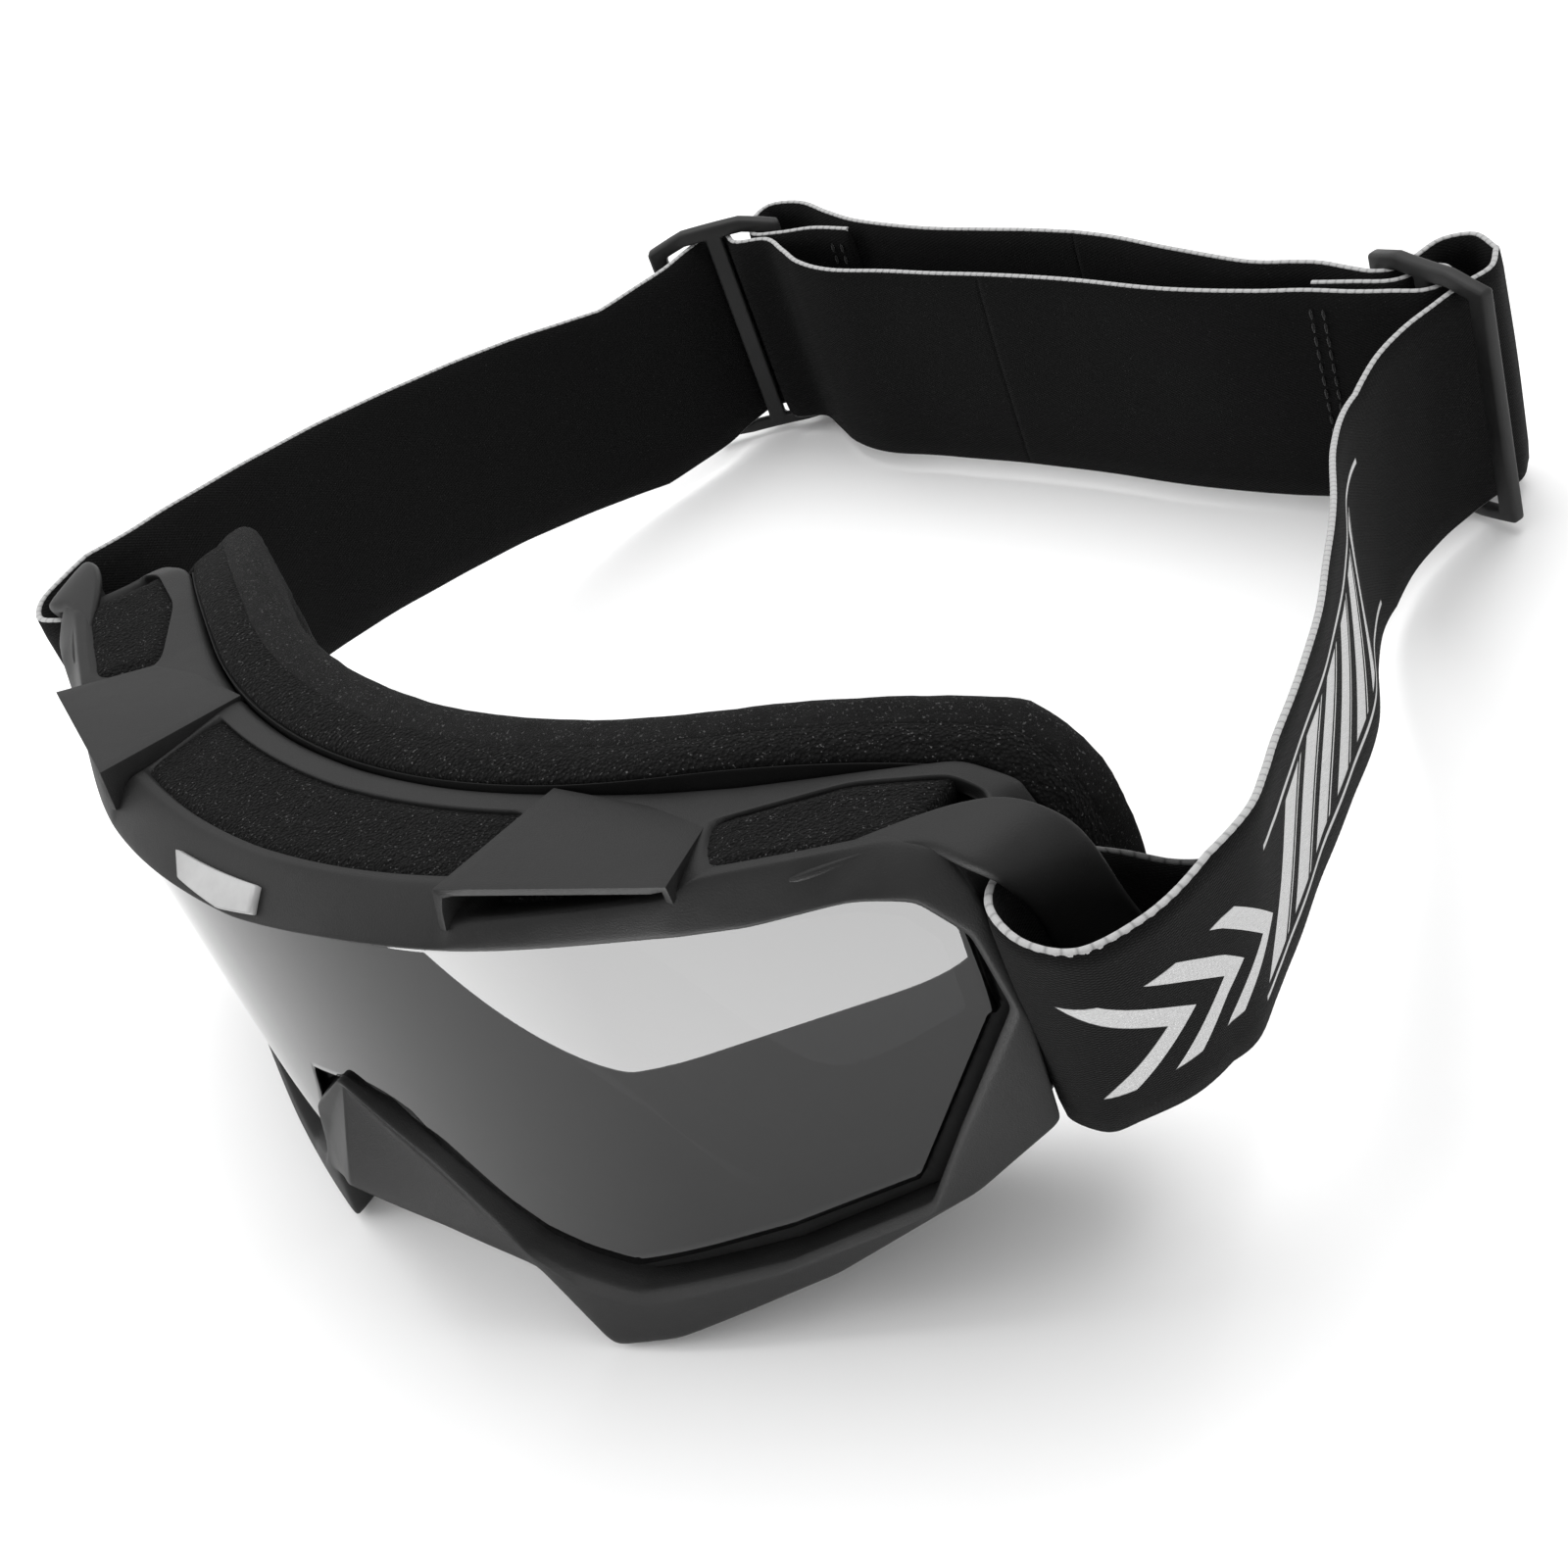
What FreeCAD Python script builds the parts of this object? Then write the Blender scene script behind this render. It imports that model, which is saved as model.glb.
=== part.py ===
"""Motorcycle goggles: moulded frame, lens, vents, face foam and a two-piece elastic strap.

Frame of reference while modelling: X runs from the wearer's right to the wearer's left,
Y from the lens back to the head, Z up from the surface the goggles rest on. The front
of the lens is at Y = 0 on the plane of symmetry, X = 0. Every piece then gets one common
Placement, which puts the origin at the bottom centre of the whole object. Millimetres.
"""
import FreeCAD, Part
import Sketcher
import math
import os
import re

from FreeCAD import Placement, Rotation, Vector

DRIVING = {
    # where the modelling origin lands in the finished part
    "origin_shift_x": 4.0,
    "origin_shift_y": -104.9,
    # the plan curve that lens, frame and foam follow: an arc, then straight wings
    "lens_radius": 92.0,
    "arc_half_chord": 46.0,
    # the moulded frame
    "body_half_width": 86.0,
    "brow_half_width": 88.5,
    "brow_height": 82.5,
    "lip_proud": 2.0,
    "ledge_depth": 5.2,
    "body_depth": 25.0,
    "body_flat_y": 55.5,
    "frame_wall": 3.0,
    # layers behind the frame
    "flange_thick": 2.8,
    "foam_thick": 4.5,
    "fleece_thick": 7.0,
    # lens and what holds it
    "lens_setback": 1.0,
    "lens_thick": 1.6,
    "gasket_thick": 1.8,
    "clearance": 0.15,
    # vents
    "vent_front": 8.0,
    "vent_back": 24.0,
    "vent_foam_thick": 3.0,
    # the badge on the brow
    "badge_width": 26.0,
    "badge_height": 8.0,
    "badge_thick": 1.4,
    # outriggers, which the strap loops round
    "post_length": 15.0,
    "post_thick": 4.5,
    "post_bottom": 29.0,
    "post_top": 79.5,
    "arm_height": 3.4,
    # elastic strap
    "strap_width": 42.0,
    "strap_thick": 1.4,
    "strap_front_bottom": 33.5,
    "strap_back_bottom": 4.0,
    # three-bar sliders
    "slider_height": 50.0,
    "slider_pitch": 12.8,
    "bar_width": 3.2,
    "bar_thick": 2.4,
    "rail_height": 3.4,
    "seam_width": 1.2,
}

doc = FreeCAD.newDocument("motorcycle_goggles")
sheet = doc.addObject("Spreadsheet::Sheet", "sizes")
for row, (alias, value) in enumerate(DRIVING.items(), start=1):
    sheet.set(f"A{row}", alias)
    sheet.set(f"B{row}", str(value))
    sheet.setAlias(f"B{row}", alias)
doc.recompute()


def size(alias):
    """The value of one driving dimension, read from the sheet."""
    return float(sheet.get(alias))


nodes = []


def place(obj, label, centre=Vector(0, 0, 0), turn=0.0):
    """Name a finished sub-part, turn it about Z and move it to the part's own origin."""
    obj.Label = label
    nodes.append(obj)
    obj.Placement = Placement(centre, Rotation(Vector(0, 0, 1), turn))
    obj.setExpression("Placement.Base.x", f"sizes.origin_shift_x + ({centre.x})")
    obj.setExpression("Placement.Base.y", f"sizes.origin_shift_y + ({centre.y})")
    return obj


def feature(label, shape):
    """A sub-part whose free-form shape comes from Part's own functions."""
    obj = doc.addObject("Part::Feature", label)
    obj.Shape = shape
    return place(obj, label)


# ---------------------------------------------------------------- plan curve
RADIUS = size("lens_radius")
CHORD = size("arc_half_chord")
WING_SLOPE = CHORD / math.sqrt(RADIUS**2 - CHORD**2)
ARC_RISE = RADIUS - math.sqrt(RADIUS**2 - CHORD**2)
FAR = 400.0
# cutting solids start ahead of the lens and end behind and above everything they cut
CUT_FRONT = -30.0
CUT_LENGTH = 130.0
CUT_HEIGHT = 120.0
CUT_BACK = CUT_FRONT + CUT_LENGTH


def plan_y(x):
    """How far back the lens curve is at a distance x from the plane of symmetry."""
    x = abs(x)
    if x <= CHORD:
        return RADIUS - math.sqrt(RADIUS**2 - x**2)
    return ARC_RISE + WING_SLOPE * (x - CHORD)


def plan_edges(shift, half_width, flat_y):
    """The plan curve moved back by shift, from left to right. Past flat_y it runs level."""
    turn_x = CHORD + (flat_y - shift - ARC_RISE) / WING_SLOPE
    tip_x = min(half_width, turn_x)
    right = [Vector(CHORD, ARC_RISE + shift, 0), Vector(tip_x, plan_y(tip_x) + shift, 0)]
    if turn_x < half_width:
        right.append(Vector(half_width, flat_y, 0))
    left = [Vector(-p.x, p.y, 0) for p in reversed(right)]
    edges = [Part.LineSegment(a, b).toShape() for a, b in zip(left, left[1:])]
    edges.append(Part.Arc(left[-1], Vector(0, shift, 0), right[0]).toShape())
    edges += [Part.LineSegment(a, b).toShape() for a, b in zip(right, right[1:])]
    return edges, left[0], right[-1]


def band(front, back, half_width, front_flat=FAR, back_flat=FAR):
    """A tall curved slab between two copies of the plan curve."""
    near, near_left, near_right = plan_edges(front, half_width, front_flat)
    far, far_left, far_right = plan_edges(back, half_width, back_flat)
    ends = [Part.LineSegment(near_right, far_right).toShape(),
            Part.LineSegment(near_left, far_left).toShape()]
    wire = Part.Wire(Part.__sortEdges__(near + far + ends))
    return Part.Face(wire).extrude(Vector(0, 0, CUT_HEIGHT))


def outline(points):
    """A prism along Y from half an outline, given from the top down to the nose."""
    right = [Vector(x, CUT_FRONT, z) for x, z in points]
    left = [Vector(-p.x, p.y, p.z) for p in reversed(right) if p.x > 0]
    face = Part.Face(Part.makePolygon(right + left + right[:1]))
    return face.extrude(Vector(0, CUT_LENGTH, 0))


def block(x0, x1, y0, y1, z0, z1):
    """A plain box between two corners."""
    return Part.makeBox(x1 - x0, y1 - y0, z1 - z0, Vector(x0, y0, z0))


def mirrored(shape):
    """The same shape on the wearer's other side."""
    return shape.mirror(Vector(0, 0, 0), Vector(1, 0, 0))


# ---------------------------------------------------------------- outlines, x and z
brow = size("brow_height")
brow_half = size("brow_half_width")
FRAME_OUTLINE = [(0, brow), (60, brow - 0.5), (80, brow - 2), (brow_half, brow - 5.5),
                 (brow_half, 33), (80, 27.5), (66, 18), (46, 8.5), (38, 4), (31, 0),
                 (26, 0), (25, 10), (22, 17.5), (10.5, 22.5), (0, 30)]
CAVITY_OUTLINE = [(0, 79), (79, 77), (82, 74), (82, 38), (75, 31.5), (63, 22.5), (44, 12.5),
                  (36, 9), (30.5, 12), (27, 21), (14, 29.5), (0, 36)]
LENS_OUTLINE = [(0, 78), (64, 77), (80, 77), (84.5, 73), (85.7, 69), (85.7, 55.4),
                (71.6, 28.6), (34.2, 16.3), (24, 20.8), (17.8, 28.4), (9, 45.5), (0, 46.4)]
LENS_GROOVE = [(0, 78.4), (80.2, 77.4), (84.9, 73.2), (86.1, 69), (86.1, 55.3),
               (71.9, 28.2), (34.2, 15.9), (23.7, 20.5), (17.4, 28.2), (8.7, 45.1), (0, 46)]
FRONT_OPENING = [(0, 76), (60, 74.5), (77, 76.3), (83, 75.2), (86.6, 70), (87.4, 55.2),
                 (72.8, 26.6), (34.3, 13.8), (22.6, 18.8), (16, 27.5), (7.5, 44), (0, 44.2)]
LEDGE_OPENING = [(0, 73.5), (76, 72.5), (81, 68), (81, 56), (69, 32.5), (35, 20.5), (26.5, 24),
                 (20.5, 31.5), (11.5, 49), (0, 50)]
PAD_OUTLINE = [(0, 81), (50, 81), (72, 76), (84, 70), (87, 60), (87, 36), (82, 27),
               (66, 16), (46, 7), (34, 5), (27, 12), (16, 27), (8, 33), (0, 34)]
PAD_OPENING = [(0, 71), (48, 71), (66, 67), (73, 60), (74, 40), (69, 32), (58, 25),
               (44, 17), (37, 17), (31, 24), (20, 38), (10, 45), (0, 46)]

# ---------------------------------------------------------------- moulded frame
gap = size("clearance")
lip = size("lip_proud")
ledge = size("ledge_depth")
depth = size("body_depth")
flat = size("body_flat_y")
body_half = size("body_half_width")
vent_front = size("vent_front")
vent_back = size("vent_back")
vent_foam_thick = size("vent_foam_thick")
wall = size("frame_wall")
SIDE_LIP_DEPTH = 0.6 * lip

frame_shape = band(-lip, depth, brow_half, FAR, flat).common(outline(FRAME_OUTLINE))
frame_shape = frame_shape.cut(band(-lip - 1, ledge, brow_half + 1).common(outline(FRONT_OPENING)))
frame_shape = frame_shape.cut(band(lip / 3, ledge, brow_half + 1).common(outline(LENS_GROOVE)))
frame_shape = frame_shape.cut(band(-lip - 1, ledge + wall + 1, brow_half).common(outline(LEDGE_OPENING)))
cavity = band(ledge + wall, depth + 1, brow_half, FAR, flat + 1).common(outline(CAVITY_OUTLINE))
frame_shape = frame_shape.cut(cavity)
# beyond the side walls only a thin lip is left, which clears the strap
for side in (-1, 1):
    x0, x1 = sorted((side * body_half, side * (brow_half + 2)))
    relief = band(SIDE_LIP_DEPTH, depth + wall, brow_half + 2)
    relief = relief.common(block(x0, x1, 0, CUT_BACK, 0, CUT_HEIGHT))
    frame_shape = frame_shape.cut(relief)

# windows in the top wall: centre, under each scoop, and beside each scoop
WINDOWS = {"centre": (-30.6, 30.6), "scoop": (35.5, 50.0), "side": (54.0, 79.0)}
REAR_RIM = 2.5
TOP_WALL_Z = 76.0


def window_solid(x0, x1, z0, z1, inset):
    """A piece of the top vents' curved band between two x values."""
    strip = band(vent_front + inset, vent_back - inset, brow_half, FAR, flat - REAR_RIM - inset)
    return strip.common(block(x0 + inset, x1 - inset, CUT_FRONT, CUT_BACK, z0, z1))


for x0, x1 in WINDOWS.values():
    window = window_solid(x0, x1, TOP_WALL_Z, CUT_HEIGHT, 0)
    frame_shape = frame_shape.cut(window)
    if x0 > 0:
        frame_shape = frame_shape.cut(mirrored(window))

# bottom vents, one in each cheek's lower wall
BOTTOM_VENT = (48.0, 64.0)
BOTTOM_VENT_FRONT = vent_front + 2
BOTTOM_VENT_BACK = vent_back - 4
BOTTOM_VENT_TOP_Z = 25.0
bottom_strip = band(BOTTOM_VENT_FRONT, BOTTOM_VENT_BACK, brow_half)
for side in (-1, 1):
    x0, x1 = sorted((side * BOTTOM_VENT[0], side * BOTTOM_VENT[1]))
    slot = block(x0, x1, 0, CUT_BACK, 0, BOTTOM_VENT_TOP_Z)
    frame_shape = frame_shape.cut(bottom_strip.common(slot))
feature("front_frame", frame_shape)

# ---------------------------------------------------------------- layers behind the frame
flange_back = depth + size("flange_thick")
foam_back = flange_back + size("foam_thick")
fleece_back = foam_back + size("fleece_thick")


def pad_layer(front, back, front_flat, back_flat):
    """One ring-shaped layer between the frame and the face."""
    layer = band(front + gap, back, size("body_half_width") + 1, front_flat + gap, back_flat)
    return layer.common(outline(PAD_OUTLINE)).cut(outline(PAD_OPENING))


flange_flat = flat + size("flange_thick")
# both soft layers thin a little towards the temples
TEMPLE_SHARE = 0.9
foam_flat = flange_flat + TEMPLE_SHARE * size("foam_thick")
fleece_flat = foam_flat + TEMPLE_SHARE * size("fleece_thick")
feature("face_flange", pad_layer(depth, flange_back, flat, flange_flat))
feature("face_foam", pad_layer(flange_back, foam_back, flange_flat, foam_flat))
feature("face_fleece", pad_layer(foam_back, fleece_back, foam_flat, fleece_flat))

# ---------------------------------------------------------------- lens and gasket
lens_front = size("lens_setback")
lens_back = lens_front + size("lens_thick")
gasket_back = lens_back + size("gasket_thick")
lens_shape = band(lens_front, lens_back, brow_half).common(outline(LENS_OUTLINE))
feature("lens", lens_shape)
gasket_ring = band(lens_back + gap, gasket_back, brow_half).common(outline(LENS_OUTLINE))
feature("lens_gasket", gasket_ring.cut(outline(LEDGE_OPENING)))


# ---------------------------------------------------------------- faceted pieces
def polyhedron(points, faces):
    """A closed solid from corner points and the corners of each flat face."""
    shells = []
    for face in faces:
        corners = [points[name] for name in face]
        shells.append(Part.Face(Part.makePolygon(corners + corners[:1])))
    solid = Part.makeSolid(Part.makeShell(shells))
    if solid.Volume < 0:
        solid.reverse()
    return solid


def slab_between(bottom, top):
    """A solid between two loops of the same number of corners, with split side faces."""
    points = {f"b{i}": Vector(*p) for i, p in enumerate(bottom)}
    points.update({f"t{i}": Vector(*p) for i, p in enumerate(top)})
    count = len(bottom)
    faces = []
    for i in range(1, count - 1):
        faces.append(("b0", f"b{i}", f"b{i + 1}"))
        faces.append(("t0", f"t{i}", f"t{i + 1}"))
    for i in range(count):
        j = (i + 1) % count
        faces.append((f"b{i}", f"b{j}", f"t{j}"))
        faces.append((f"b{i}", f"t{j}", f"t{i}"))
    return polyhedron(points, faces)


# the nose bridge: a ridge that stands proud of the frame and fades into the cheeks
nose_front = [(0, -3.0, 45.5), (14, -2.2, 28.5), (23, -1.0, 18.3), (10.5, -4.6, 23), (0, -8.5, 30.5),
              (-10.5, -4.6, 23), (-23, -1.0, 18.3), (-14, -2.2, 28.5)]
nose_back = [(x, vent_front, z) for x, _, z in nose_front]
nose_shape = slab_between(nose_back, nose_front)
nose_shape = nose_shape.cut(band(-lip - gap, CUT_BACK, brow_half))
feature("nose_bridge", nose_shape)

# scoops: ramps that rise forwards over the top wall and open in a long slot
SCOOP_PLAN = [(33.0, 27.5), (52.0, 32.5), (59.5, 23.0), (34.5, 9.5)]
SCOOP_TOP = [83.4, 83.4, 87.0, 87.6]
scoop_base = brow + gap
scoop_outer = slab_between([(x, y, scoop_base) for x, y in SCOOP_PLAN],
                           [(x, y, z) for (x, y), z in zip(SCOOP_PLAN, SCOOP_TOP)])
TUNNEL_PLAN = [(36.2, 25.0), (50.8, 29.0), (61.8, 16.5), (36.2, 4.0)]
TUNNEL_TOP = [82.8, 82.8, 86.6, 87.0]
scoop_tunnel = slab_between([(x, y, TOP_WALL_Z) for x, y in TUNNEL_PLAN],
                            [(x, y, z) for (x, y), z in zip(TUNNEL_PLAN, TUNNEL_TOP)])
scoop_shape = scoop_outer.cut(scoop_tunnel)
feature("scoop_left", scoop_shape)
feature("scoop_right", mirrored(scoop_shape))

# ---------------------------------------------------------------- vent foams
foam_top = brow - 1.5
side_foam_top = foam_top - 1.4
centre_foam = window_solid(*WINDOWS["centre"], foam_top - vent_foam_thick, foam_top, gap)
side_foam = window_solid(*WINDOWS["side"], side_foam_top - vent_foam_thick, side_foam_top, gap)
feature("vent_foam_centre", centre_foam)
feature("vent_foam_left", side_foam)
feature("vent_foam_right", mirrored(side_foam))
CHEEK_SLOPE = [(85, 32.3), (66, 20.3), (46, 10.8), (0, 10.8)]


def above_cheek(lift):
    """Everything above a line that follows the cheek's lower wall, lifted by lift."""
    return outline([(0, brow), (85, brow)] + [(x, z + lift) for x, z in CHEEK_SLOPE])


lower_foam = band(BOTTOM_VENT_FRONT + gap, BOTTOM_VENT_BACK - gap, brow_half)
lower_foam = lower_foam.common(
    block(BOTTOM_VENT[0] + gap, BOTTOM_VENT[1] - gap, 0, CUT_BACK, 0, brow / 2))
lower_foam = lower_foam.common(above_cheek(0)).cut(above_cheek(vent_foam_thick))
feature("vent_foam_lower_left", lower_foam)
feature("vent_foam_lower_right", mirrored(lower_foam))


# ---------------------------------------------------------------- bodies made from sketches
def with_sheet(text):
    """The same expression with each sheet alias spelled out in full."""
    for alias in sorted(DRIVING, key=len, reverse=True):
        text = re.sub(rf"(?<![\w.]){alias}(?!\w)", f"sizes.{alias}", text)
    return text


def closed_sketch(body, name, plane_role, loops):
    """A sketch of closed polygons whose corners are all bound to the sheet."""
    sketch = body.newObject("Sketcher::SketchObject", name)
    plane = [f for f in body.Origin.OriginFeatures if f.Role == plane_role][0]
    sketch.AttachmentSupport = [(plane, "")]
    sketch.MapMode = "FlatFace"
    for corners in loops:
        texts = [tuple(with_sheet(text) for text in corner) for corner in corners]
        points = [Vector(*(float(sheet.evalExpression(t)) for t in pair), 0) for pair in texts]
        first = sketch.GeometryCount
        count = len(points)
        for i, point in enumerate(points):
            sketch.addGeometry(Part.LineSegment(point, points[(i + 1) % count]), False)
        for i in range(count):
            joint = Sketcher.Constraint("Coincident", first + i, 2, first + (i + 1) % count, 1)
            sketch.addConstraint(joint)
        for i, (pair, point) in enumerate(zip(texts, points)):
            for kind, text, number in zip(("DistanceX", "DistanceY"), pair, point):
                # a negative distance is measured the other way, from the corner to the origin
                ends = (-1, 1, first + i, 1) if number >= 0 else (first + i, 1, -1, 1)
                index = sketch.addConstraint(Sketcher.Constraint(kind, *ends, abs(number)))
                label = f"{kind[-1].lower()}{first + i}"
                sketch.renameConstraint(index, label)
                signed = text if number >= 0 else f"-({text})"
                sketch.setExpression(f"Constraints.{label}", signed)
    sketch.Visibility = False
    return sketch


def padded_body(label, plane_role, corners, length):
    """A PartDesign body: one polygon, padded both ways by half of length."""
    body = doc.addObject("PartDesign::Body", label)
    pad = body.newObject("PartDesign::Pad", f"{label}_pad")
    pad.Profile = closed_sketch(body, f"{label}_sketch", plane_role, [corners])
    pad.Midplane = True
    pad.setExpression("Length", with_sheet(length))
    return body


def rectangle(x0, x1, z0, z1):
    """The four corners of a rectangle, as expressions."""
    return [(x0, z0), (x1, z0), (x1, z1), (x0, z1)]


BADGE_CORNERS = [("-badge_width / 2", "0"), ("4 - badge_width / 2", "-badge_height / 2"),
                 ("badge_width / 2 - 4", "-badge_height / 2"), ("badge_width / 2", "0"),
                 ("badge_width / 2 - 4", "badge_height / 2"),
                 ("4 - badge_width / 2", "badge_height / 2")]
badge = padded_body("badge", "XZ_Plane", BADGE_CORNERS, "badge_thick")
doc.recompute()
BADGE_CENTRE_Z = 79.0
place(badge, "badge", Vector(0, -lip - size("badge_thick") / 2 - gap, BADGE_CENTRE_Z))


def slider_body(label, centre, turn):
    """A flat three-bar slider. Its local X runs across the bars, and turn is about Z."""
    half = "slider_pitch + bar_width / 2"
    body = padded_body(label, "XZ_Plane", rectangle(f"-({half})", half, "0", "slider_height"),
                       "bar_thick")
    inner, outer = "bar_width / 2", "slider_pitch - bar_width / 2"
    low, high = "rail_height", "slider_height - rail_height"
    slots = [rectangle(inner, outer, low, high),
             rectangle(f"-({outer})", f"-({inner})", low, high)]
    doc.recompute()
    pocket = body.newObject("PartDesign::Pocket", f"{label}_slots")
    pocket.Profile = closed_sketch(body, f"{label}_slot_sketch", "XZ_Plane", slots)
    pocket.Type = "ThroughAll"
    pocket.Midplane = True
    doc.recompute()
    return place(body, label, centre, turn)


# centres of the middle bars, and the direction across the bars towards the back
LEFT_SLIDER = Vector(55.5, 200.7, 0)
LEFT_TURN = 139.0
RIGHT_SLIDER = Vector(-94.5, 198.5, 0)
RIGHT_TURN = 33.0
slider_body("slider_left", LEFT_SLIDER, LEFT_TURN)
slider_body("slider_right", RIGHT_SLIDER, RIGHT_TURN)

# ---------------------------------------------------------------- outriggers
POST_CENTRE = Vector(94.5, 49.5, 0)
POST_TURN = -23.0
ARM_INNER_X = body_half + gap
ARM_FRONT_Y = 45.0
ARM_REACH = 9.0
ARM_WIDTH = 9.0


def sheet_box(name, length, width, height, corner, turn=0.0):
    """A Part::Box bound to the sheet, standing on a corner."""
    box = doc.addObject("Part::Box", name)
    for prop, text in (("Length", length), ("Width", width), ("Height", height)):
        box.setExpression(prop, with_sheet(text))
    box.Placement = Placement(corner, Rotation(Vector(0, 0, 1), turn))
    return box


post_corner = POST_CENTRE + Rotation(Vector(0, 0, 1), POST_TURN).multVec(
    Vector(-size("post_thick") / 2, -size("post_length") / 2, 0))
post_corner.z = size("post_bottom")
post = sheet_box("outrigger_post", "post_thick", "post_length", "post_top - post_bottom",
                 post_corner, POST_TURN)
arms = []
for name, arm_z in (("lower", size("post_bottom")), ("upper", size("post_top") - size("arm_height"))):
    corner = Vector(ARM_INNER_X, ARM_FRONT_Y, arm_z)
    arm = sheet_box(f"outrigger_arm_{name}", str(ARM_REACH), str(ARM_WIDTH), "arm_height", corner)
    arms.append(arm)
outrigger = doc.addObject("Part::MultiFuse", "outrigger_left")
outrigger.Shapes = [post] + arms
outrigger.Refine = True
place(outrigger, "outrigger_left")
doc.recompute()
feature("outrigger_right", mirrored(
    outrigger.Shape.translated(Vector(-size("origin_shift_x"), -size("origin_shift_y"), 0))))

# ---------------------------------------------------------------- strap
thick = size("strap_thick")
width = size("strap_width")
front_bottom = size("strap_front_bottom")
back_bottom = size("strap_back_bottom")
SLOPE_START_Y = 53.0
SLOPE_END_Y = 172.0


def ribbon(route, bottom, height):
    """A strip of webbing on edge: it follows a route in plan and stands height tall."""
    middle = Part.BSplineCurve()
    middle.interpolate([Vector(x, y, bottom) for x, y in route])
    first, last = middle.FirstParameter, middle.LastParameter
    stations = 4 * len(route)
    faces = []
    for side in (-0.5, 0.5):
        points = []
        for i in range(stations + 1):
            at = first + (last - first) * i / stations
            along = middle.tangent(at)[0]
            points.append(middle.value(at) + Vector(-along.y, along.x, 0) * thick * side)
        curve = Part.BSplineCurve()
        curve.interpolate(points)
        faces.append((curve.toShape(), points[0], points[-1]))
    (inner, a0, a1), (outer, b0, b1) = faces
    ends = [Part.LineSegment(a0, b0).toShape(), Part.LineSegment(a1, b1).toShape()]
    wire = Part.Wire(Part.__sortEdges__([inner, outer] + ends))
    return Part.Face(wire).extrude(Vector(0, 0, height))


def side_run(route):
    """The stretch from an outrigger to a slider, which sinks towards the back."""
    tall = ribbon(route, 0, CUT_HEIGHT)
    edge = [Vector(-FAR, 0, front_bottom), Vector(-FAR, SLOPE_START_Y, front_bottom),
            Vector(-FAR, SLOPE_END_Y, back_bottom), Vector(-FAR, FAR, back_bottom)]
    upper = [p + Vector(0, 0, width) for p in reversed(edge)]
    slab = Part.Face(Part.makePolygon(edge + upper + edge[:1])).extrude(Vector(2 * FAR, 0, 0))
    return tall.common(slab)


# the wearer's left: a loop round the outrigger's post, and the run to the slider
ANCHOR_LEFT = [(105.8, 51.0), (103.8, 42.5), (98.0, 37.4), (92.2, 38.0), (88.6, 41.3),
               (87.8, 47.0), (88.8, 54.0), (92.5, 60.5), (98.0, 64.5), (101.6, 68.5)]
RUN_LEFT = [(106.0, 53.0), (104.0, 75.0), (97.5, 94.0), (89.0, 111.0), (76.5, 136.0),
            (67.0, 152.0), (61.8, 165.0), (60.6, 173.0)]
WEAVE_LEFT = [(58.4, 171.5), (58.0, 180.0), (58.2, 187.5), (60.8, 195.0), (64.3, 204.0),
              (62.0, 212.5), (56.0, 217.5), (51.5, 214.0), (49.8, 207.5), (46.3, 205.2),
              (42.5, 206.3), (37.8, 206.8)]
BACK_LEFT = [(34.0, 206.4), (22.0, 205.4), (7.0, 207.6), (-16.0, 210.6), (-36.0, 209.4),
             (-60.0, 208.8)]
END_LOOP_LEFT = [(-65.5, 209.2), (-75.0, 211.8), (-84.0, 214.6), (-91.0, 213.0), (-91.4, 207.6),
                 (-87.2, 202.4), (-81.2, 203.4), (-74.5, 206.2), (-67.0, 206.6)]

# the wearer's right, the same way round: its back layer lies nearer the head
ANCHOR_RIGHT = [(-x, y) for x, y in ANCHOR_LEFT]
RUN_RIGHT = [(-106.0, 53.0), (-110.5, 72.0), (-113.5, 92.0), (-114.2, 112.0), (-112.6, 135.0),
             (-109.0, 158.0), (-105.4, 173.5)]
WEAVE_RIGHT = [(-103.5, 171.0), (-101.6, 178.8), (-99.6, 187.2), (-99.2, 193.8),
               (-98.4, 200.2), (-95.6, 203.2), (-92.6, 201.0), (-89.0, 199.2), (-82.5, 200.8),
               (-76.0, 197.6), (-69.0, 194.0)]
BACK_RIGHT = [(-64.5, 192.6), (-46.0, 193.4), (-27.0, 195.0), (14.0, 195.5), (33.5, 197.4)]
END_LOOP_RIGHT = [(37.2, 198.2), (45.0, 199.2), (52.0, 197.6), (57.4, 197.0), (59.5, 200.0),
                  (57.0, 203.6), (52.5, 203.4), (46.0, 202.6), (38.0, 201.2)]

feature("strap_left_anchor_loop", ribbon(ANCHOR_LEFT, front_bottom, width))
feature("strap_left_side_run", side_run(RUN_LEFT))
feature("strap_left_weave", ribbon(WEAVE_LEFT, back_bottom, width))
feature("strap_left_back_layer", ribbon(BACK_LEFT, back_bottom, width))
feature("strap_left_end_loop", ribbon(END_LOOP_LEFT, back_bottom, width))
feature("strap_right_anchor_loop", ribbon(ANCHOR_RIGHT, front_bottom, width))
feature("strap_right_side_run", side_run(RUN_RIGHT))
feature("strap_right_weave", ribbon(WEAVE_RIGHT, back_bottom, width))
feature("strap_right_back_layer", ribbon(BACK_RIGHT, back_bottom, width))
feature("strap_right_end_loop", ribbon(END_LOOP_RIGHT, back_bottom, width))


# ---------------------------------------------------------------- sewn seams
STITCH_PITCH = 4.0
STITCH_LENGTH = 2.8
STITCH_PROUD = 0.4


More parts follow.
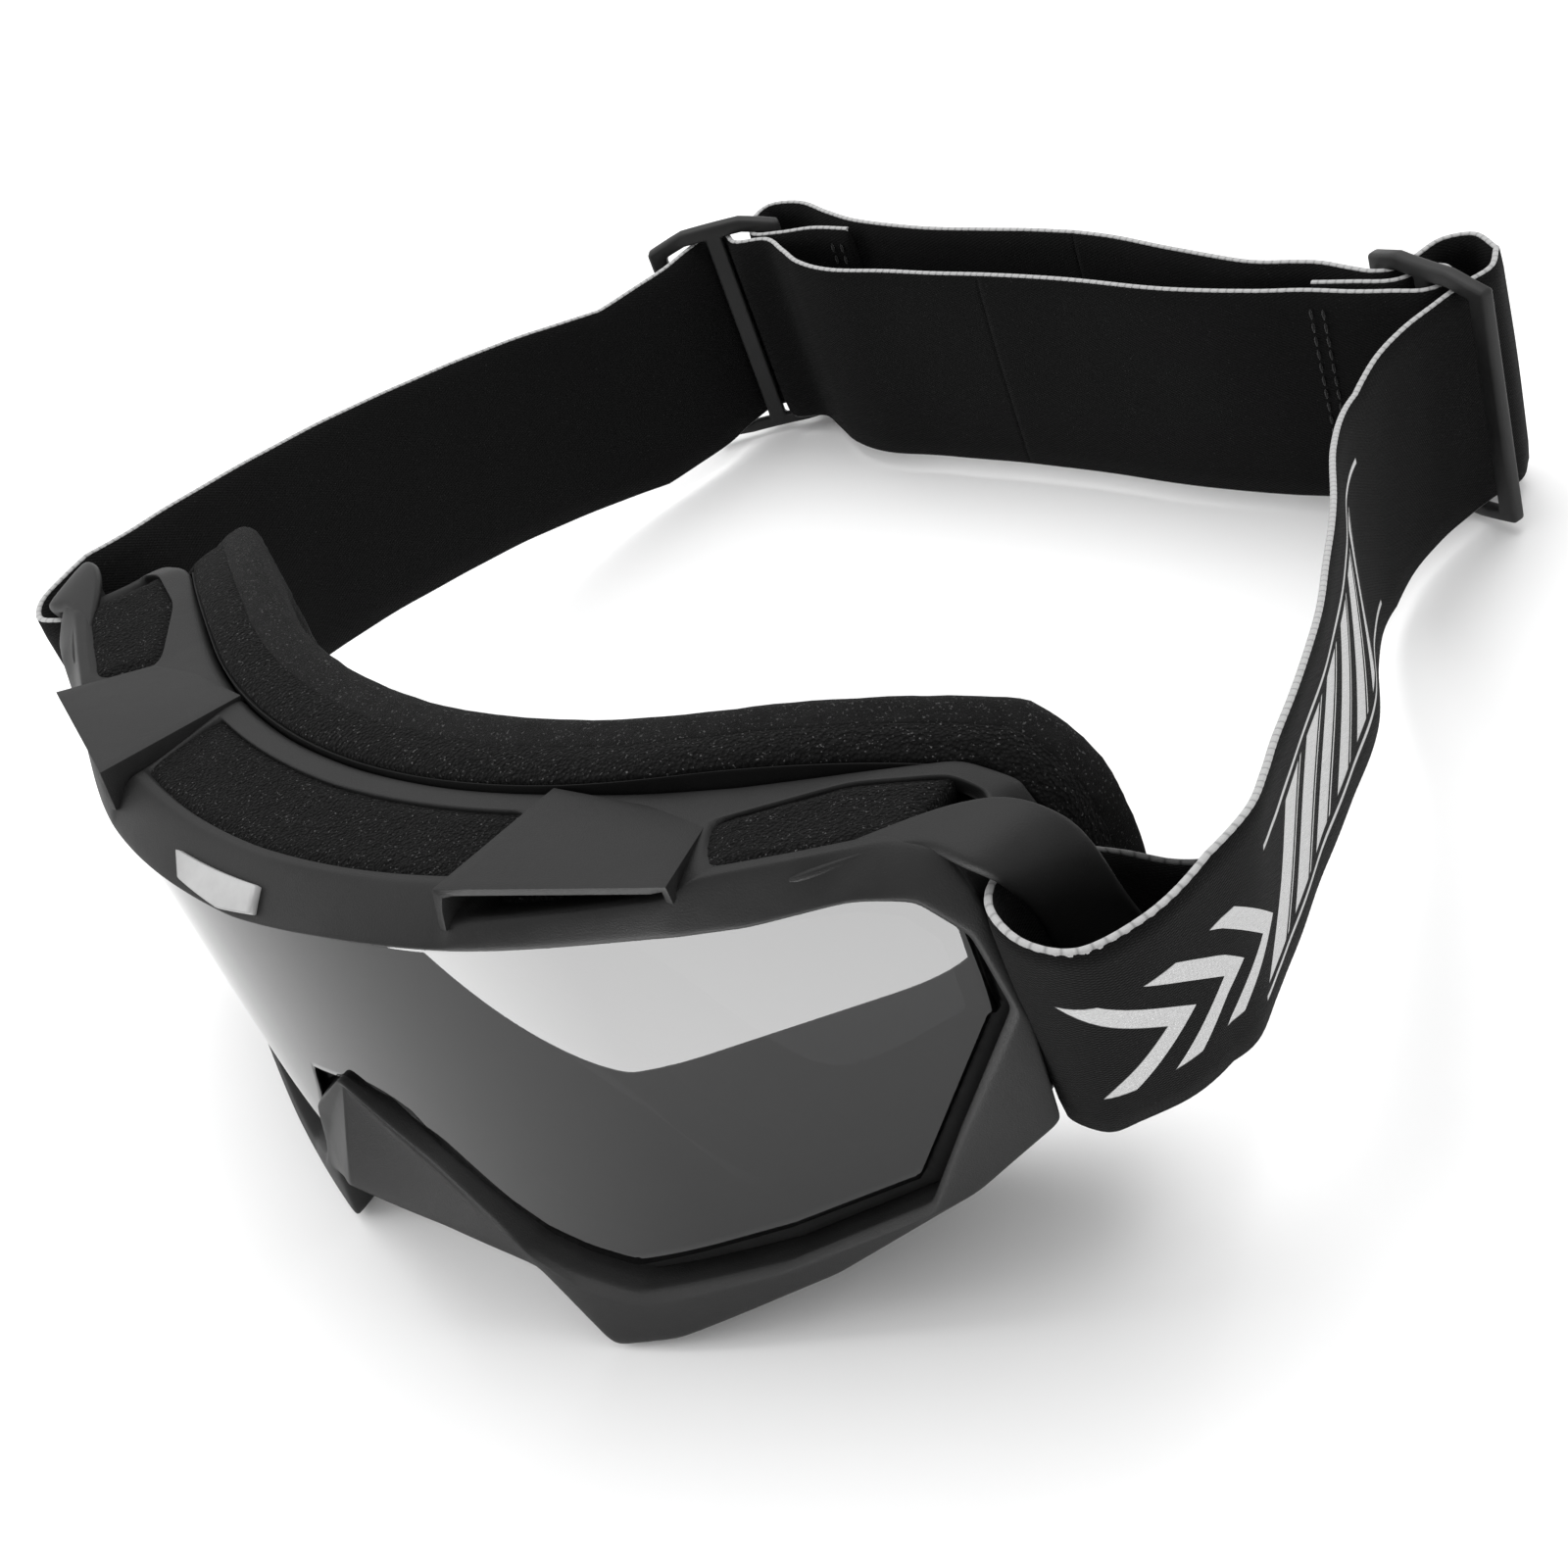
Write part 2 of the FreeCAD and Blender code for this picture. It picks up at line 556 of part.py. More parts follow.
def seam(at, along, bottom):
    """A raised row of stitches, one dash above another, on the face of a strap."""
    turn = math.degrees(math.atan2(along[1], along[0]))
    stitches = []
    for i in range(int(width / STITCH_PITCH) - 1):
        dash = Part.makeBox(size("seam_width"), STITCH_PROUD, STITCH_LENGTH)
        dash.Placement = Placement(Vector(*at, bottom + STITCH_PITCH * (i + 0.6)),
                                   Rotation(Vector(0, 0, 1), turn))
        stitches.append(dash)
    return Part.makeCompound(stitches)


feature("strap_right_end_stitches", seam((38.4, 197.1), (1, 0.1), back_bottom))
feature("strap_left_end_stitches", seam((-70.2, 205.2), (1, 0.05), back_bottom))
ANCHOR_STITCH = (100.4, 68.6)
anchor_stitches = seam(ANCHOR_STITCH, (0.6, 0.8), front_bottom)
feature("strap_left_anchor_stitches", anchor_stitches)
feature("strap_right_anchor_stitches", mirrored(anchor_stitches))

# ---------------------------------------------------------------- check and export
doc.recompute()
for obj in doc.Objects:
    if {"Invalid", "Error"} & set(obj.State):
        raise RuntimeError(f"{obj.Name} failed: {obj.State}")
os.makedirs("parts", exist_ok=True)
overall = FreeCAD.BoundBox()
for obj in nodes:
    shape = obj.Shape
    if shape.isNull() or not shape.isValid() or not shape.Solids:
        raise RuntimeError(f"{obj.Label} has no valid solid")
    overall.add(shape.BoundBox)
    shape.exportStep(f"parts/{obj.Label}.step")
    print(f"{obj.Label}: {len(shape.Solids)} solids, {shape.Volume / 1000:.2f} cm3")
print(f"{len(nodes)} sub-parts, {overall.XLength:.1f} x {overall.YLength:.1f} x "
      f"{overall.ZLength:.1f} mm, centre {overall.Center.x:.2f}, {overall.Center.y:.2f}, "
      f"lowest {overall.ZMin:.2f}")
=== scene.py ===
"""Motorcycle goggles: the looks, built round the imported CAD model.

Shapes are written in goggle millimetres: X from the plane of symmetry towards the wearer's
left, Y back from the front of the lens curve, Z up from the surface the goggles rest on.
placed() turns them into the row frame's metres, from where the CAD lens is.
"""
import math

import bmesh
import bpy
import numpy as np
from mathutils import Matrix, Vector, noise


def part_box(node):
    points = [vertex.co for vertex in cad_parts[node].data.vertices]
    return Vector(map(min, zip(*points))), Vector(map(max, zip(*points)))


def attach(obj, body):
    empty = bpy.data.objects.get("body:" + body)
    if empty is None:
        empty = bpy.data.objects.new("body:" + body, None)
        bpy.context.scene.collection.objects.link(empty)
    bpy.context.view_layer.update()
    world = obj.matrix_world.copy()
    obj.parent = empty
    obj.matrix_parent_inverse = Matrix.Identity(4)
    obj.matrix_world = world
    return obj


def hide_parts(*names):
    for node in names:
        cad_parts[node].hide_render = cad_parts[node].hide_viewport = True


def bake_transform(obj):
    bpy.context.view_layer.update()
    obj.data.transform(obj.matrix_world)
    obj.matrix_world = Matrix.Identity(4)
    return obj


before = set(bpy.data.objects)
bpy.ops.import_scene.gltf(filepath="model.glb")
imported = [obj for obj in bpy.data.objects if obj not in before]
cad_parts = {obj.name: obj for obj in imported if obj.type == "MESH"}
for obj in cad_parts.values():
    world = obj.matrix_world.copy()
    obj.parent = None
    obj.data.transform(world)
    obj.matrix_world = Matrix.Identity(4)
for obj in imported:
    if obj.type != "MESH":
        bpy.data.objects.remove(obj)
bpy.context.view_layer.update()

MM = 0.001
LENS_RADIUS = 92.0
ARC_HALF_CHORD = 46.0
LENS_FRONT = 1.0
LENS_BACK = 2.6
WING_SLOPE = ARC_HALF_CHORD / math.sqrt(LENS_RADIUS**2 - ARC_HALF_CHORD**2)

lens_low, lens_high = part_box("lens")
ORIGIN = np.array([(lens_low.x + lens_high.x) / 2, lens_low.y - LENS_FRONT * MM, 0.0])

# without a seed this noise starts from the clock, and soft surfaces differ from run to run
NOISE_SEED = 5
noise.seed_set(NOISE_SEED)

ROOT, LEFT, RIGHT = "goggles", "left_slider", "right_slider"
SIDES = (("left", 1), ("right", -1))


def placed(points):
    """Goggle millimetres to metres in the row frame."""
    return np.asarray(points, float) * MM + ORIGIN


def plan_y(x):
    """How far back the lens curve is at a distance x from the plane of symmetry."""
    x = np.abs(x)
    inner = np.minimum(x, ARC_HALF_CHORD)
    arc = LENS_RADIUS - np.sqrt(LENS_RADIUS**2 - inner**2)
    return arc + WING_SLOPE * np.maximum(x - ARC_HALF_CHORD, 0)


# ---------------- material helpers
def grey(value):
    """A linear grey."""
    return (value, value, value, 1.0)


class Graph:
    """A material's node tree, with short calls for the nodes used here."""

    def __init__(self, name):
        self.material = bpy.data.materials.new(name)
        self.material.use_nodes = True
        self.tree = self.material.node_tree
        self.shader = self.tree.nodes["Principled BSDF"]
        coordinates = self.tree.nodes.new("ShaderNodeTexCoord")
        self.place = coordinates.outputs["Object"]

    def node(self, kind, **settings):
        """A new node of a kind, with its settings."""
        made = self.tree.nodes.new(kind)
        for key, value in settings.items():
            setattr(made, key, value)
        return made

    def join(self, source, target):
        """Link an output to an input."""
        self.tree.links.new(source, target)

    def feed(self, socket, value):
        """Link an output to a socket, or set the socket to a plain value."""
        if hasattr(value, "is_output"):
            self.join(value, socket)
        else:
            socket.default_value = value

    def math(self, operation, *values):
        """A math node's result."""
        made = self.node("ShaderNodeMath", operation=operation)
        for socket, value in zip(made.inputs, values):
            self.feed(socket, value)
        return made.outputs[0]

    def texture(self, kind, output, **settings):
        """A texture over the piece, measured in its own coordinates."""
        made = self.node(kind)
        self.join(self.place, made.inputs["Vector"])
        for name, value in settings.items():
            made.inputs[name].default_value = value
        return made.outputs[output]

    def times(self, first, second):
        """Two values multiplied."""
        return self.math("MULTIPLY", first, second)

    def noise(self, scale, detail=4.0, roughness=0.6):
        """Smooth noise, scale in cells per metre."""
        return self.texture("ShaderNodeTexNoise", "Fac", Scale=scale, Detail=detail,
                            Roughness=roughness)

    def cells(self, scale):
        """The distance to the nearest of many scattered points."""
        return self.texture("ShaderNodeTexVoronoi", "Distance", Scale=scale)

    def attribute(self, name):
        """A number that the mesh stores at its points."""
        return self.node("ShaderNodeAttribute", attribute_name=name).outputs["Fac"]

    def spread(self, value, low, high, to_low=0.0, to_high=1.0):
        """Stretch a value from one range to another."""
        made = self.node("ShaderNodeMapRange")
        numbers = (value, low, high, to_low, to_high)
        for socket, number in zip(made.inputs, numbers):
            self.feed(socket, number)
        return made.outputs["Result"]

    def mix(self, share, first, second):
        """Blend two colours by a share."""
        made = self.node("ShaderNodeMix", data_type="RGBA")
        self.feed(made.inputs["Factor"], share)
        self.feed(made.inputs["A"], first)
        self.feed(made.inputs["B"], second)
        return made.outputs["Result"]

    def tone(self, value, low, high, first, second):
        """Blend two greys as a value goes from low to high."""
        return self.mix(self.spread(value, low, high), grey(first), grey(second))

    def bump(self, height, distance, strength=1.0, below=None):
        """A surface relief in metres, on top of another one."""
        made = self.node("ShaderNodeBump")
        made.inputs["Distance"].default_value = distance
        made.inputs["Strength"].default_value = strength
        self.join(height, made.inputs["Height"])
        if below is not None:
            self.join(below, made.inputs["Normal"])
        return made.outputs["Normal"]

    def finish(self, **sockets):
        """Feed the shader's sockets and hand over the material."""
        for name, value in sockets.items():
            self.feed(self.shader.inputs[name.replace("_", " ")], value)
        return self.material


def moulded_plastic(name, dark, light, rough, grain=1.0):
    """Matte moulded plastic: fine spark-eroded grain, faint clouding and rubbed patches."""
    g = Graph(name)
    clouds = g.noise(55.0, 5.0)
    grain_height = g.noise(5200.0, 2.0, 0.5)
    colour = g.tone(clouds, 0.35, 0.65, dark, light)
    speck = g.spread(g.noise(9000.0, 1.0), 0.66, 0.74, 0.0, 0.35)
    colour = g.mix(speck, colour, grey(light * 1.9))
    roughness = g.spread(clouds, 0.3, 0.7, rough - 0.05, rough + 0.07)
    ripple = g.bump(g.noise(120.0, 3.0), 0.00025, 0.35)
    normal = g.bump(grain_height, 0.00006 * grain, 0.9, ripple)
    return g.finish(Specular_IOR_Level=0.2,
                    Base_Color=colour, Roughness=roughness, Normal=normal)


def open_foam(name, dark, light, cell=2100.0, depth=0.00035):
    """Open-cell foam: small round cells with lighter strands, and a fuzz of pale specks painted in as
    glints of stray light.
    """
    g = Graph(name)
    cells = g.cells(cell)
    fibres = g.noise(cell * 2.3, 5.0, 0.75)
    mottle = g.spread(g.noise(90.0, 4.0), 0.35, 0.7)
    colour = g.tone(cells, 0.1, 0.55, light, dark)
    colour = g.mix(g.times(mottle, 0.35), colour, grey(light * 0.8))
    # painted highlight: pale specks in the colour stand in for glints of light on the foam
    painted_glint = g.spread(g.noise(cell * 1.3, 2.0), 0.645, 0.715, 0.0, 0.9)
    colour = g.mix(painted_glint, colour, grey(light * 20))
    normal = g.bump(cells, depth, 0.8, g.bump(fibres, depth * 0.5, 0.7))
    return g.finish(Sheen_Weight=0.03, Sheen_Roughness=0.6, Specular_IOR_Level=0.05,
                    Base_Color=colour, Roughness=g.spread(fibres, 0.3, 0.7, 0.85, 1.0),
                    Normal=normal)


def brushed_fleece(name):
    """Short black pile: streaky fibres, soft sheen and pale flecks painted in as glints."""
    g = Graph(name)
    pile = g.noise(3300.0, 6.0, 0.8)
    lay = g.noise(420.0, 4.0)
    colour = g.tone(pile, 0.35, 0.7, 0.0015, 0.0075)
    colour = g.mix(g.spread(lay, 0.4, 0.7, 0.0, 0.4), colour, grey(0.014))
    # painted highlight: pale flecks in the colour stand in for glints of light on the pile
    colour = g.mix(g.spread(g.noise(2600.0, 2.0), 0.62, 0.70, 0.0, 0.8), colour, grey(0.10))
    normal = g.bump(pile, 0.00045, 0.9, g.bump(lay, 0.0004, 0.4))
    return g.finish(Sheen_Weight=0.05, Sheen_Roughness=0.5, Specular_IOR_Level=0.05,
                    Base_Color=colour, Roughness=g.spread(pile, 0.3, 0.7, 0.88, 1.0),
                    Normal=normal)


def rubber(name):
    """Dull black rubber with a faint bloom."""
    g = Graph(name)
    soft = g.noise(700.0, 4.0)
    colour = g.tone(soft, 0.35, 0.65, 0.0025, 0.006)
    return g.finish(Specular_IOR_Level=0.2,
                    Base_Color=colour, Roughness=g.spread(soft, 0.3, 0.7, 0.7, 0.9),
                    Normal=g.bump(soft, 0.00005, 0.6))


def smoke_lens(name):
    """Polished polycarbonate with a dark smoke tint and hairline smears."""
    g = Graph(name)
    smears = g.noise(35.0, 6.0, 0.7)
    tint = g.mix(g.spread(smears, 0.3, 0.7), (0.0080, 0.0082, 0.0085, 1), (0.0100, 0.0102, 0.0105, 1))
    return g.finish(Transmission_Weight=1.0, IOR=1.5,
                    Base_Color=tint, Roughness=g.spread(smears, 0.35, 0.8, 0.0, 0.02))


def badge_plastic(name):
    """Satin pale plastic with faint mottling."""
    g = Graph(name)
    fine = g.noise(1500.0, 3.0)
    colour = g.tone(g.noise(160.0), 0.35, 0.65, 0.29, 0.35)
    return g.finish(Base_Color=colour, Roughness=g.spread(fine, 0.3, 0.7, 0.38, 0.5),
                    Normal=g.bump(fine, 0.00003, 0.5))


def thread(name, dark, light, pitch):
    """Twisted yarn: each turn painted bright and the gaps between turns painted dark, as painted
    highlight and painted shade.
    """
    g = Graph(name)
    along = g.attribute("along")
    # painted light and shade: the colour is lighter on each turn and darker in the gaps between turns
    painted_turn_shade = g.math("ABSOLUTE", g.math("SINE", g.times(along, math.pi / pitch)))
    fluff = g.noise(3000.0, 4.0, 0.7)
    share = g.times(g.spread(painted_turn_shade, 0.0, 0.55), g.spread(fluff, 0.25, 0.6, 0.7, 1.0))
    return g.finish(Sheen_Weight=0.3, Specular_IOR_Level=0.2,
                    Base_Color=g.mix(share, grey(dark), grey(light)),
                    Roughness=g.spread(fluff, 0.3, 0.7, 0.75, 0.95),
                    Normal=g.bump(fluff, 0.0002, 0.7))


RIB_PITCH = 0.55
WALE_PITCH = 1.1


def webbing(name, printed):
    """Black knitted elastic. The printed one has pale racing stripes on its outer face."""
    g = Graph(name)
    along, across = g.attribute("along"), g.attribute("across")
    rib = g.math("SINE", g.times(across, 2 * math.pi / RIB_PITCH))
    wale = g.math("SINE", g.times(along, 2 * math.pi / WALE_PITCH))
    knit = g.times(rib, wale)
    fluff = g.noise(2600.0, 5.0, 0.75)
    colour = g.tone(fluff, 0.3, 0.72, 0.0022, 0.0075)
    colour = g.mix(g.spread(knit, 0.2, 1.0, 0.0, 0.5), colour, grey(0.009))
    fleck = g.spread(g.noise(4800.0, 1.0), 0.72, 0.78, 0.0, 0.5)
    colour = g.mix(fleck, colour, grey(0.09))
    if printed:
        ink = g.tone(fluff, 0.3, 0.7, 0.50, 0.64)
        colour = g.mix(printed_share(g, along, across), colour, ink)
    normal = g.bump(knit, 0.00012, 0.6, g.bump(fluff, 0.00012, 0.7))
    return g.finish(Sheen_Weight=0.02, Sheen_Roughness=0.5, Specular_IOR_Level=0.06,
                    Base_Color=colour, Roughness=g.spread(fluff, 0.3, 0.7, 0.8, 0.97),
                    Normal=normal)


# the print on the wearer's left strap: distances along it from its sewn end, and up from its
# middle
BARS_FROM, BARS_TO = 84.0, 172.0
BAR_PITCH = 15.0
CHEVRONS_FROM, CHEVRONS_TO = 56.0, 84.0
CHEVRON_PITCH = 9.5
PRINT_LOW, PRINT_HIGH = -13.0, 10.0
LINES_TO = 186.0


def between(g, value, low, high, soft=0.12):
    """1 where value lies between low and high, with a thin soft edge."""
    rise = g.spread(value, low - soft, low + soft)
    fall = g.spread(value, high - soft, high + soft, 1.0, 0.0)
    return g.times(rise, fall)


def printed_share(g, along, across):
    """How much ink there is: slanted bars, three chevrons and two trailing lines."""
    slanted = g.math("SUBTRACT", along, g.times(across, 0.55))
    phase = g.math("MODULO", g.math("SUBTRACT", slanted, BARS_FROM), BAR_PITCH)
    taper = g.spread(slanted, BARS_FROM, BARS_TO, BAR_PITCH * 0.62, BAR_PITCH * 0.42)
    solid = g.math("LESS_THAN", phase, taper)
    beside = g.math("SUBTRACT", phase, taper)
    solid = g.math("MAXIMUM", solid, between(g, beside, 1.3, 2.1))
    bars = g.times(solid, between(g, slanted, BARS_FROM, BARS_TO))
    bars = g.times(bars, between(g, across, PRINT_LOW, PRINT_HIGH))
    bent = g.math("ADD", along, g.math("ABSOLUTE", g.math("ADD", across, 2.0)))
    phase = g.math("MODULO", g.math("SUBTRACT", bent, CHEVRONS_FROM), CHEVRON_PITCH)
    arms = g.math("LESS_THAN", phase, CHEVRON_PITCH * 0.45)
    chevrons = g.times(arms, between(g, bent, CHEVRONS_FROM, CHEVRONS_TO))
    chevrons = g.times(chevrons, between(g, across, PRINT_LOW + 1, PRINT_HIGH - 1))
    share = g.math("MAXIMUM", bars, chevrons)
    for height in (PRINT_LOW - 2.2, PRINT_HIGH + 2.2):
        line = between(g, across, height - 0.45, height + 0.45)
        line = g.times(line, between(g, along, BARS_FROM - 8, LINES_TO))
        share = g.math("MAXIMUM", share, line)
    outside = g.math("GREATER_THAN", g.attribute("outside"), 0.5)
    worn = g.spread(g.noise(1800.0, 3.0), 0.25, 0.4, 0.75, 1.0)
    return g.times(g.times(share, outside), worn)


FRAME_PLASTIC = moulded_plastic("frame_plastic", 0.0085, 0.0140, 0.5)
FLANGE_PLASTIC = moulded_plastic("flange_plastic", 0.001, 0.003, 0.7)
SLIDER_PLASTIC = moulded_plastic("slider_plastic", 0.014, 0.022, 0.42, 0.6)
LENS = smoke_lens("lens_smoke")
GASKET = rubber("gasket_rubber")
BADGE = badge_plastic("badge_plastic")
VENT_FOAM = open_foam("vent_foam", 0.0006, 0.0045)
FACE_FOAM = open_foam("face_foam", 0.0006, 0.0045, 1800.0)
FLEECE = brushed_fleece("fleece")
WEBBING = webbing("webbing", False)
PRINTED_WEBBING = webbing("webbing_printed", True)
BINDING = thread("binding_yarn", 0.20, 0.38, 1.5)
DARK_BINDING = thread("binding_yarn_dark", 0.004, 0.05, 1.5)
THREAD = thread("sewing_thread", 0.001, 0.006, 0.5)


# ---------------- mesh helpers
def add_object(name, data):
    """A new object in the scene."""
    added = bpy.data.objects.new(name, data)
    bpy.context.scene.collection.objects.link(added)
    return added


def make(name, points, faces, material, nodes, body=ROOT, attributes=None, rounds=0):
    """A smooth mesh piece in the row frame. It rides on body and stands for CAD nodes."""
    mesh = bpy.data.meshes.new(name)
    mesh.from_pydata(placed(points).tolist(), [], [list(map(int, f)) for f in faces])
    mesh.validate()
    for key, values in (attributes or {}).items():
        layer = mesh.attributes.new(key, "FLOAT", "POINT")
        layer.data.foreach_set("value", np.asarray(values, np.float32).ravel())
    mesh.polygons.foreach_set("use_smooth",
                              [bool(rounds) or face.loop_total <= 4 for face in mesh.polygons])
    piece = add_object(name, mesh)
    mesh.materials.append(material)
    fix_normals(mesh)
    if rounds:
        smooth = piece.modifiers.new("rounding", "SUBSURF")
        smooth.levels = smooth.render_levels = rounds
    if body:
        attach(piece, body)
    if nodes:
        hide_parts(*nodes)
    return piece


def fix_normals(mesh):
    """Turn every closed shell outside out and drop points that no face uses."""
    shell = bmesh.new()
    shell.from_mesh(mesh)
    loose = [v for v in shell.verts if not v.link_faces]
    bmesh.ops.delete(shell, geom=loose, context="VERTS")
    bmesh.ops.recalc_face_normals(shell, faces=shell.faces)
    shell.to_mesh(mesh)
    shell.free()


def grid_faces(rows, cols, wrap_rows=False, wrap_cols=False):
    """Quads over a grid of points, row by row."""
    faces = []
    for r in range(rows if wrap_rows else rows - 1):
        for c in range(cols if wrap_cols else cols - 1):
            r2, c2 = (r + 1) % rows, (c + 1) % cols
            faces.append([r * cols + c, r * cols + c2, r2 * cols + c2, r2 * cols + c])
    return faces


def rim_edges(rows, cols):
    """The edges round a grid of points, in order."""
    rim = list(range(cols)) + [r * cols + cols - 1 for r in range(1, rows)]
    rim += [(rows - 1) * cols + c for c in reversed(range(cols - 1))]
    rim += [r * cols for r in reversed(range(1, rows - 1))]
    return list(zip(rim, rim[1:] + rim[:1]))


def slab_faces(rows, cols):
    """Faces of a slab: two grids of points, one after the other, joined round their rims."""
    count = rows * cols
    upper = grid_faces(rows, cols)
    lower = [[count + v for v in reversed(face)] for face in upper]
    return upper + lower + [[b, a, count + a, count + b] for a, b in rim_edges(rows, cols)]


def loft(sections, loop=False):
    """Points and faces of a skin over closed sections of equal length, capped unless a loop."""
    sections = np.asarray(sections, float)
    count, around = sections.shape[:2]
    faces = grid_faces(count, around, loop, True)
    if not loop:
        faces.append(list(reversed(range(around))))
        faces.append([(count - 1) * around + i for i in range(around)])
    return sections.reshape(-1, 3), faces


def curve_through(points, spacing, closed=False):
    """Evenly spaced points on a smooth curve through the given ones (Catmull-Rom)."""
    p = np.asarray(points, float)
    if closed:
        p = np.vstack([p[-1:], p, p[:2]])
    else:
        p = np.vstack([2 * p[0] - p[1], p, 2 * p[-1] - p[-2]])
    pieces = []
    for i in range(1, len(p) - 2):
        t = np.linspace(0, 1, 24, endpoint=False)[:, None]
        a, b, c, d = p[i - 1], p[i], p[i + 1], p[i + 2]
        pieces.append(0.5 * (2 * b + (c - a) * t + (2 * a - 5 * b + 4 * c - d) * t**2
                             + (3 * b - a - 3 * c + d) * t**3))
    dense = np.vstack(pieces + [p[-2][None] if not closed else p[1][None]])
    step = np.r_[0, np.cumsum(np.linalg.norm(np.diff(dense, axis=0), axis=1))]
    count = max(3, int(round(step[-1] / spacing)) + 1)
    at = np.linspace(0, step[-1], count)
    even = np.stack([np.interp(at, step, dense[:, k]) for k in range(dense.shape[1])], 1)
    return even[:-1] if closed else even


def round_edges(piece, radius, angle):
    """Round the edges that turn by more than an angle in degrees."""
    edge = piece.modifiers.new("edges", "BEVEL")
    edge.width, edge.segments, edge.limit_method = radius * MM, 3, "ANGLE"
    edge.angle_limit = math.radians(angle)


def rough_up(points, scale, amount, seed):
    """Move points by smooth noise, for soft or worn surfaces."""
    moved = np.array(points, float)
    for i, p in enumerate(moved):
        moved[i] = p + amount * np.array(noise.noise_vector(Vector(p * scale) + Vector((seed,) * 3)))
    return moved


def part_way(first, second, share):
    """A point between two others, by a share of the way."""
    return np.asarray(first) * (1 - share) + np.asarray(second) * share


def rounded_box(half_x, half_y, radius, steps=3):
    """The corner-rounded outline of a rectangle, as 2-D points."""
    points = []
    for k, (sx, sy) in enumerate(((1, 1), (-1, 1), (-1, -1), (1, -1))):
        for i in range(steps):
            angle = math.pi / 2 * (k + i / (steps - 1))
            points.append((sx * (half_x - radius) + radius * math.cos(angle),
                           sy * (half_y - radius) + radius * math.sin(angle)))
    return np.array(points)


# ---------------- camera, light and floor
CAMERA_AZIMUTH, CAMERA_ELEVATION, CAMERA_ROLL = 51.76, 37.23, 22.39
CAMERA_PLACE = (230.2, -93.3, 244.7)
CAMERA_LENS_MM, SENSOR_MM = 53.88, 36.0


def make_camera():
    """The camera, turned by azimuth, elevation and roll."""
    a, e, r = (math.radians(v) for v in (CAMERA_AZIMUTH, CAMERA_ELEVATION, CAMERA_ROLL))
    right = Vector((math.cos(a), math.sin(a), 0))
    up = Vector((-math.sin(a) * math.sin(e), math.cos(a) * math.sin(e), math.cos(e)))
    back = right.cross(up)
    rolled_right = right * math.cos(r) - up * math.sin(r)
    rolled_up = right * math.sin(r) + up * math.cos(r)
    data = bpy.data.cameras.new("camera")
    data.lens, data.sensor_width = CAMERA_LENS_MM, SENSOR_MM
    data.clip_start, data.clip_end = 0.01, 50.0
    camera = add_object("camera", data)
    turn = Matrix((rolled_right, rolled_up, back)).transposed().to_4x4()
    camera.matrix_world = Matrix.Translation(Vector(placed(CAMERA_PLACE))) @ turn
    bpy.context.scene.camera = camera


def area_light(name, place, target, size, power):
    """A rectangular lamp aimed at a target."""
    data = bpy.data.lights.new(name, "AREA")
    data.shape = "RECTANGLE"
    data.size, data.size_y = size
    data.energy = power
    light = add_object(name, data)
    light.location = place
    aim = Vector(target) - Vector(place)
    light.rotation_euler = aim.to_track_quat("-Z", "Y").to_euler()


# a bright card on the floor ahead of the lens, which only reflections see
CARD_OUTLINE = [(-40, -97), (48, -43), (95, -31), (120, -40), (120, -160), (-40, -160)]
CARD_HEIGHT = 0.3
CARD_GLOW = 10.5
CARD_ROUNDING = 0.18


def make_reflector():
    """A soft-cornered glowing card that the lens mirrors as one pale patch."""
    corners = np.array(CARD_OUTLINE, float)
    ring = []
    for i, corner in enumerate(corners):
        before, after = corners[i - 1], corners[(i + 1) % len(corners)]
        for t in np.linspace(0, 1, 7):
            start = corner + CARD_ROUNDING * (before - corner)
            end = corner + CARD_ROUNDING * (after - corner)
            bend = (1 - t) ** 2 * start + 2 * t * (1 - t) * corner + t**2 * end
            ring.append((bend[0], bend[1], CARD_HEIGHT))
    mesh = bpy.data.meshes.new("reflector_card")
    mesh.from_pydata(placed(ring).tolist(), [], [list(range(len(ring)))])
    card = add_object("reflector_card", mesh)
    glow = bpy.data.materials.new("reflector_glow")
    glow.use_nodes = True
    shader = glow.node_tree.nodes["Principled BSDF"]
    shader.inputs["Base Color"].default_value = (0, 0, 0, 1)
    shader.inputs["Emission Color"].default_value = (1, 1, 1, 1)
    shader.inputs["Emission Strength"].default_value = CARD_GLOW
    mesh.materials.append(glow)
    card.visible_camera = card.visible_diffuse = card.visible_shadow = False
    card.visible_transmission = False


FLOOR_HALF = 4.0


def make_floor():
    """A plain pale floor."""
    mesh = bpy.data.meshes.new("floor")
    corners = [(x * FLOOR_HALF, y * FLOOR_HALF, 0) for x, y in ((-1, -1), (1, -1), (1, 1), (-1, 1))]
    mesh.from_pydata(corners, [], [(0, 1, 2, 3)])
    floor = add_object("floor", mesh)
    g = Graph("floor_paint")
    tone = g.tone(g.noise(9.0, 5.0), 0.35, 0.65, 0.93, 0.95)
    mesh.materials.append(g.finish(Base_Color=tone, Roughness=0.9))


def make_light():
    """Even white surroundings and two soft lamps."""
    world = bpy.data.worlds.new("studio")
    world.use_nodes = True
    sky = world.node_tree.nodes["Background"]
    sky.inputs["Color"].default_value = (1, 1, 1, 1)
    sky.inputs["Strength"].default_value = 0.95
    scene = bpy.context.scene
    scene.world = world
    scene.view_settings.view_transform = "Standard"
    area_light("overhead", (-0.15, 0.25, 1.1), (0, 0, 0.04), (1.0, 1.0), 9.0)
    area_light("front_left", (-0.7, -0.7, 0.6), (0, -0.05, 0.04), (0.6, 0.6), 3.0)


make_camera()
make_reflector()
make_floor()
make_light()

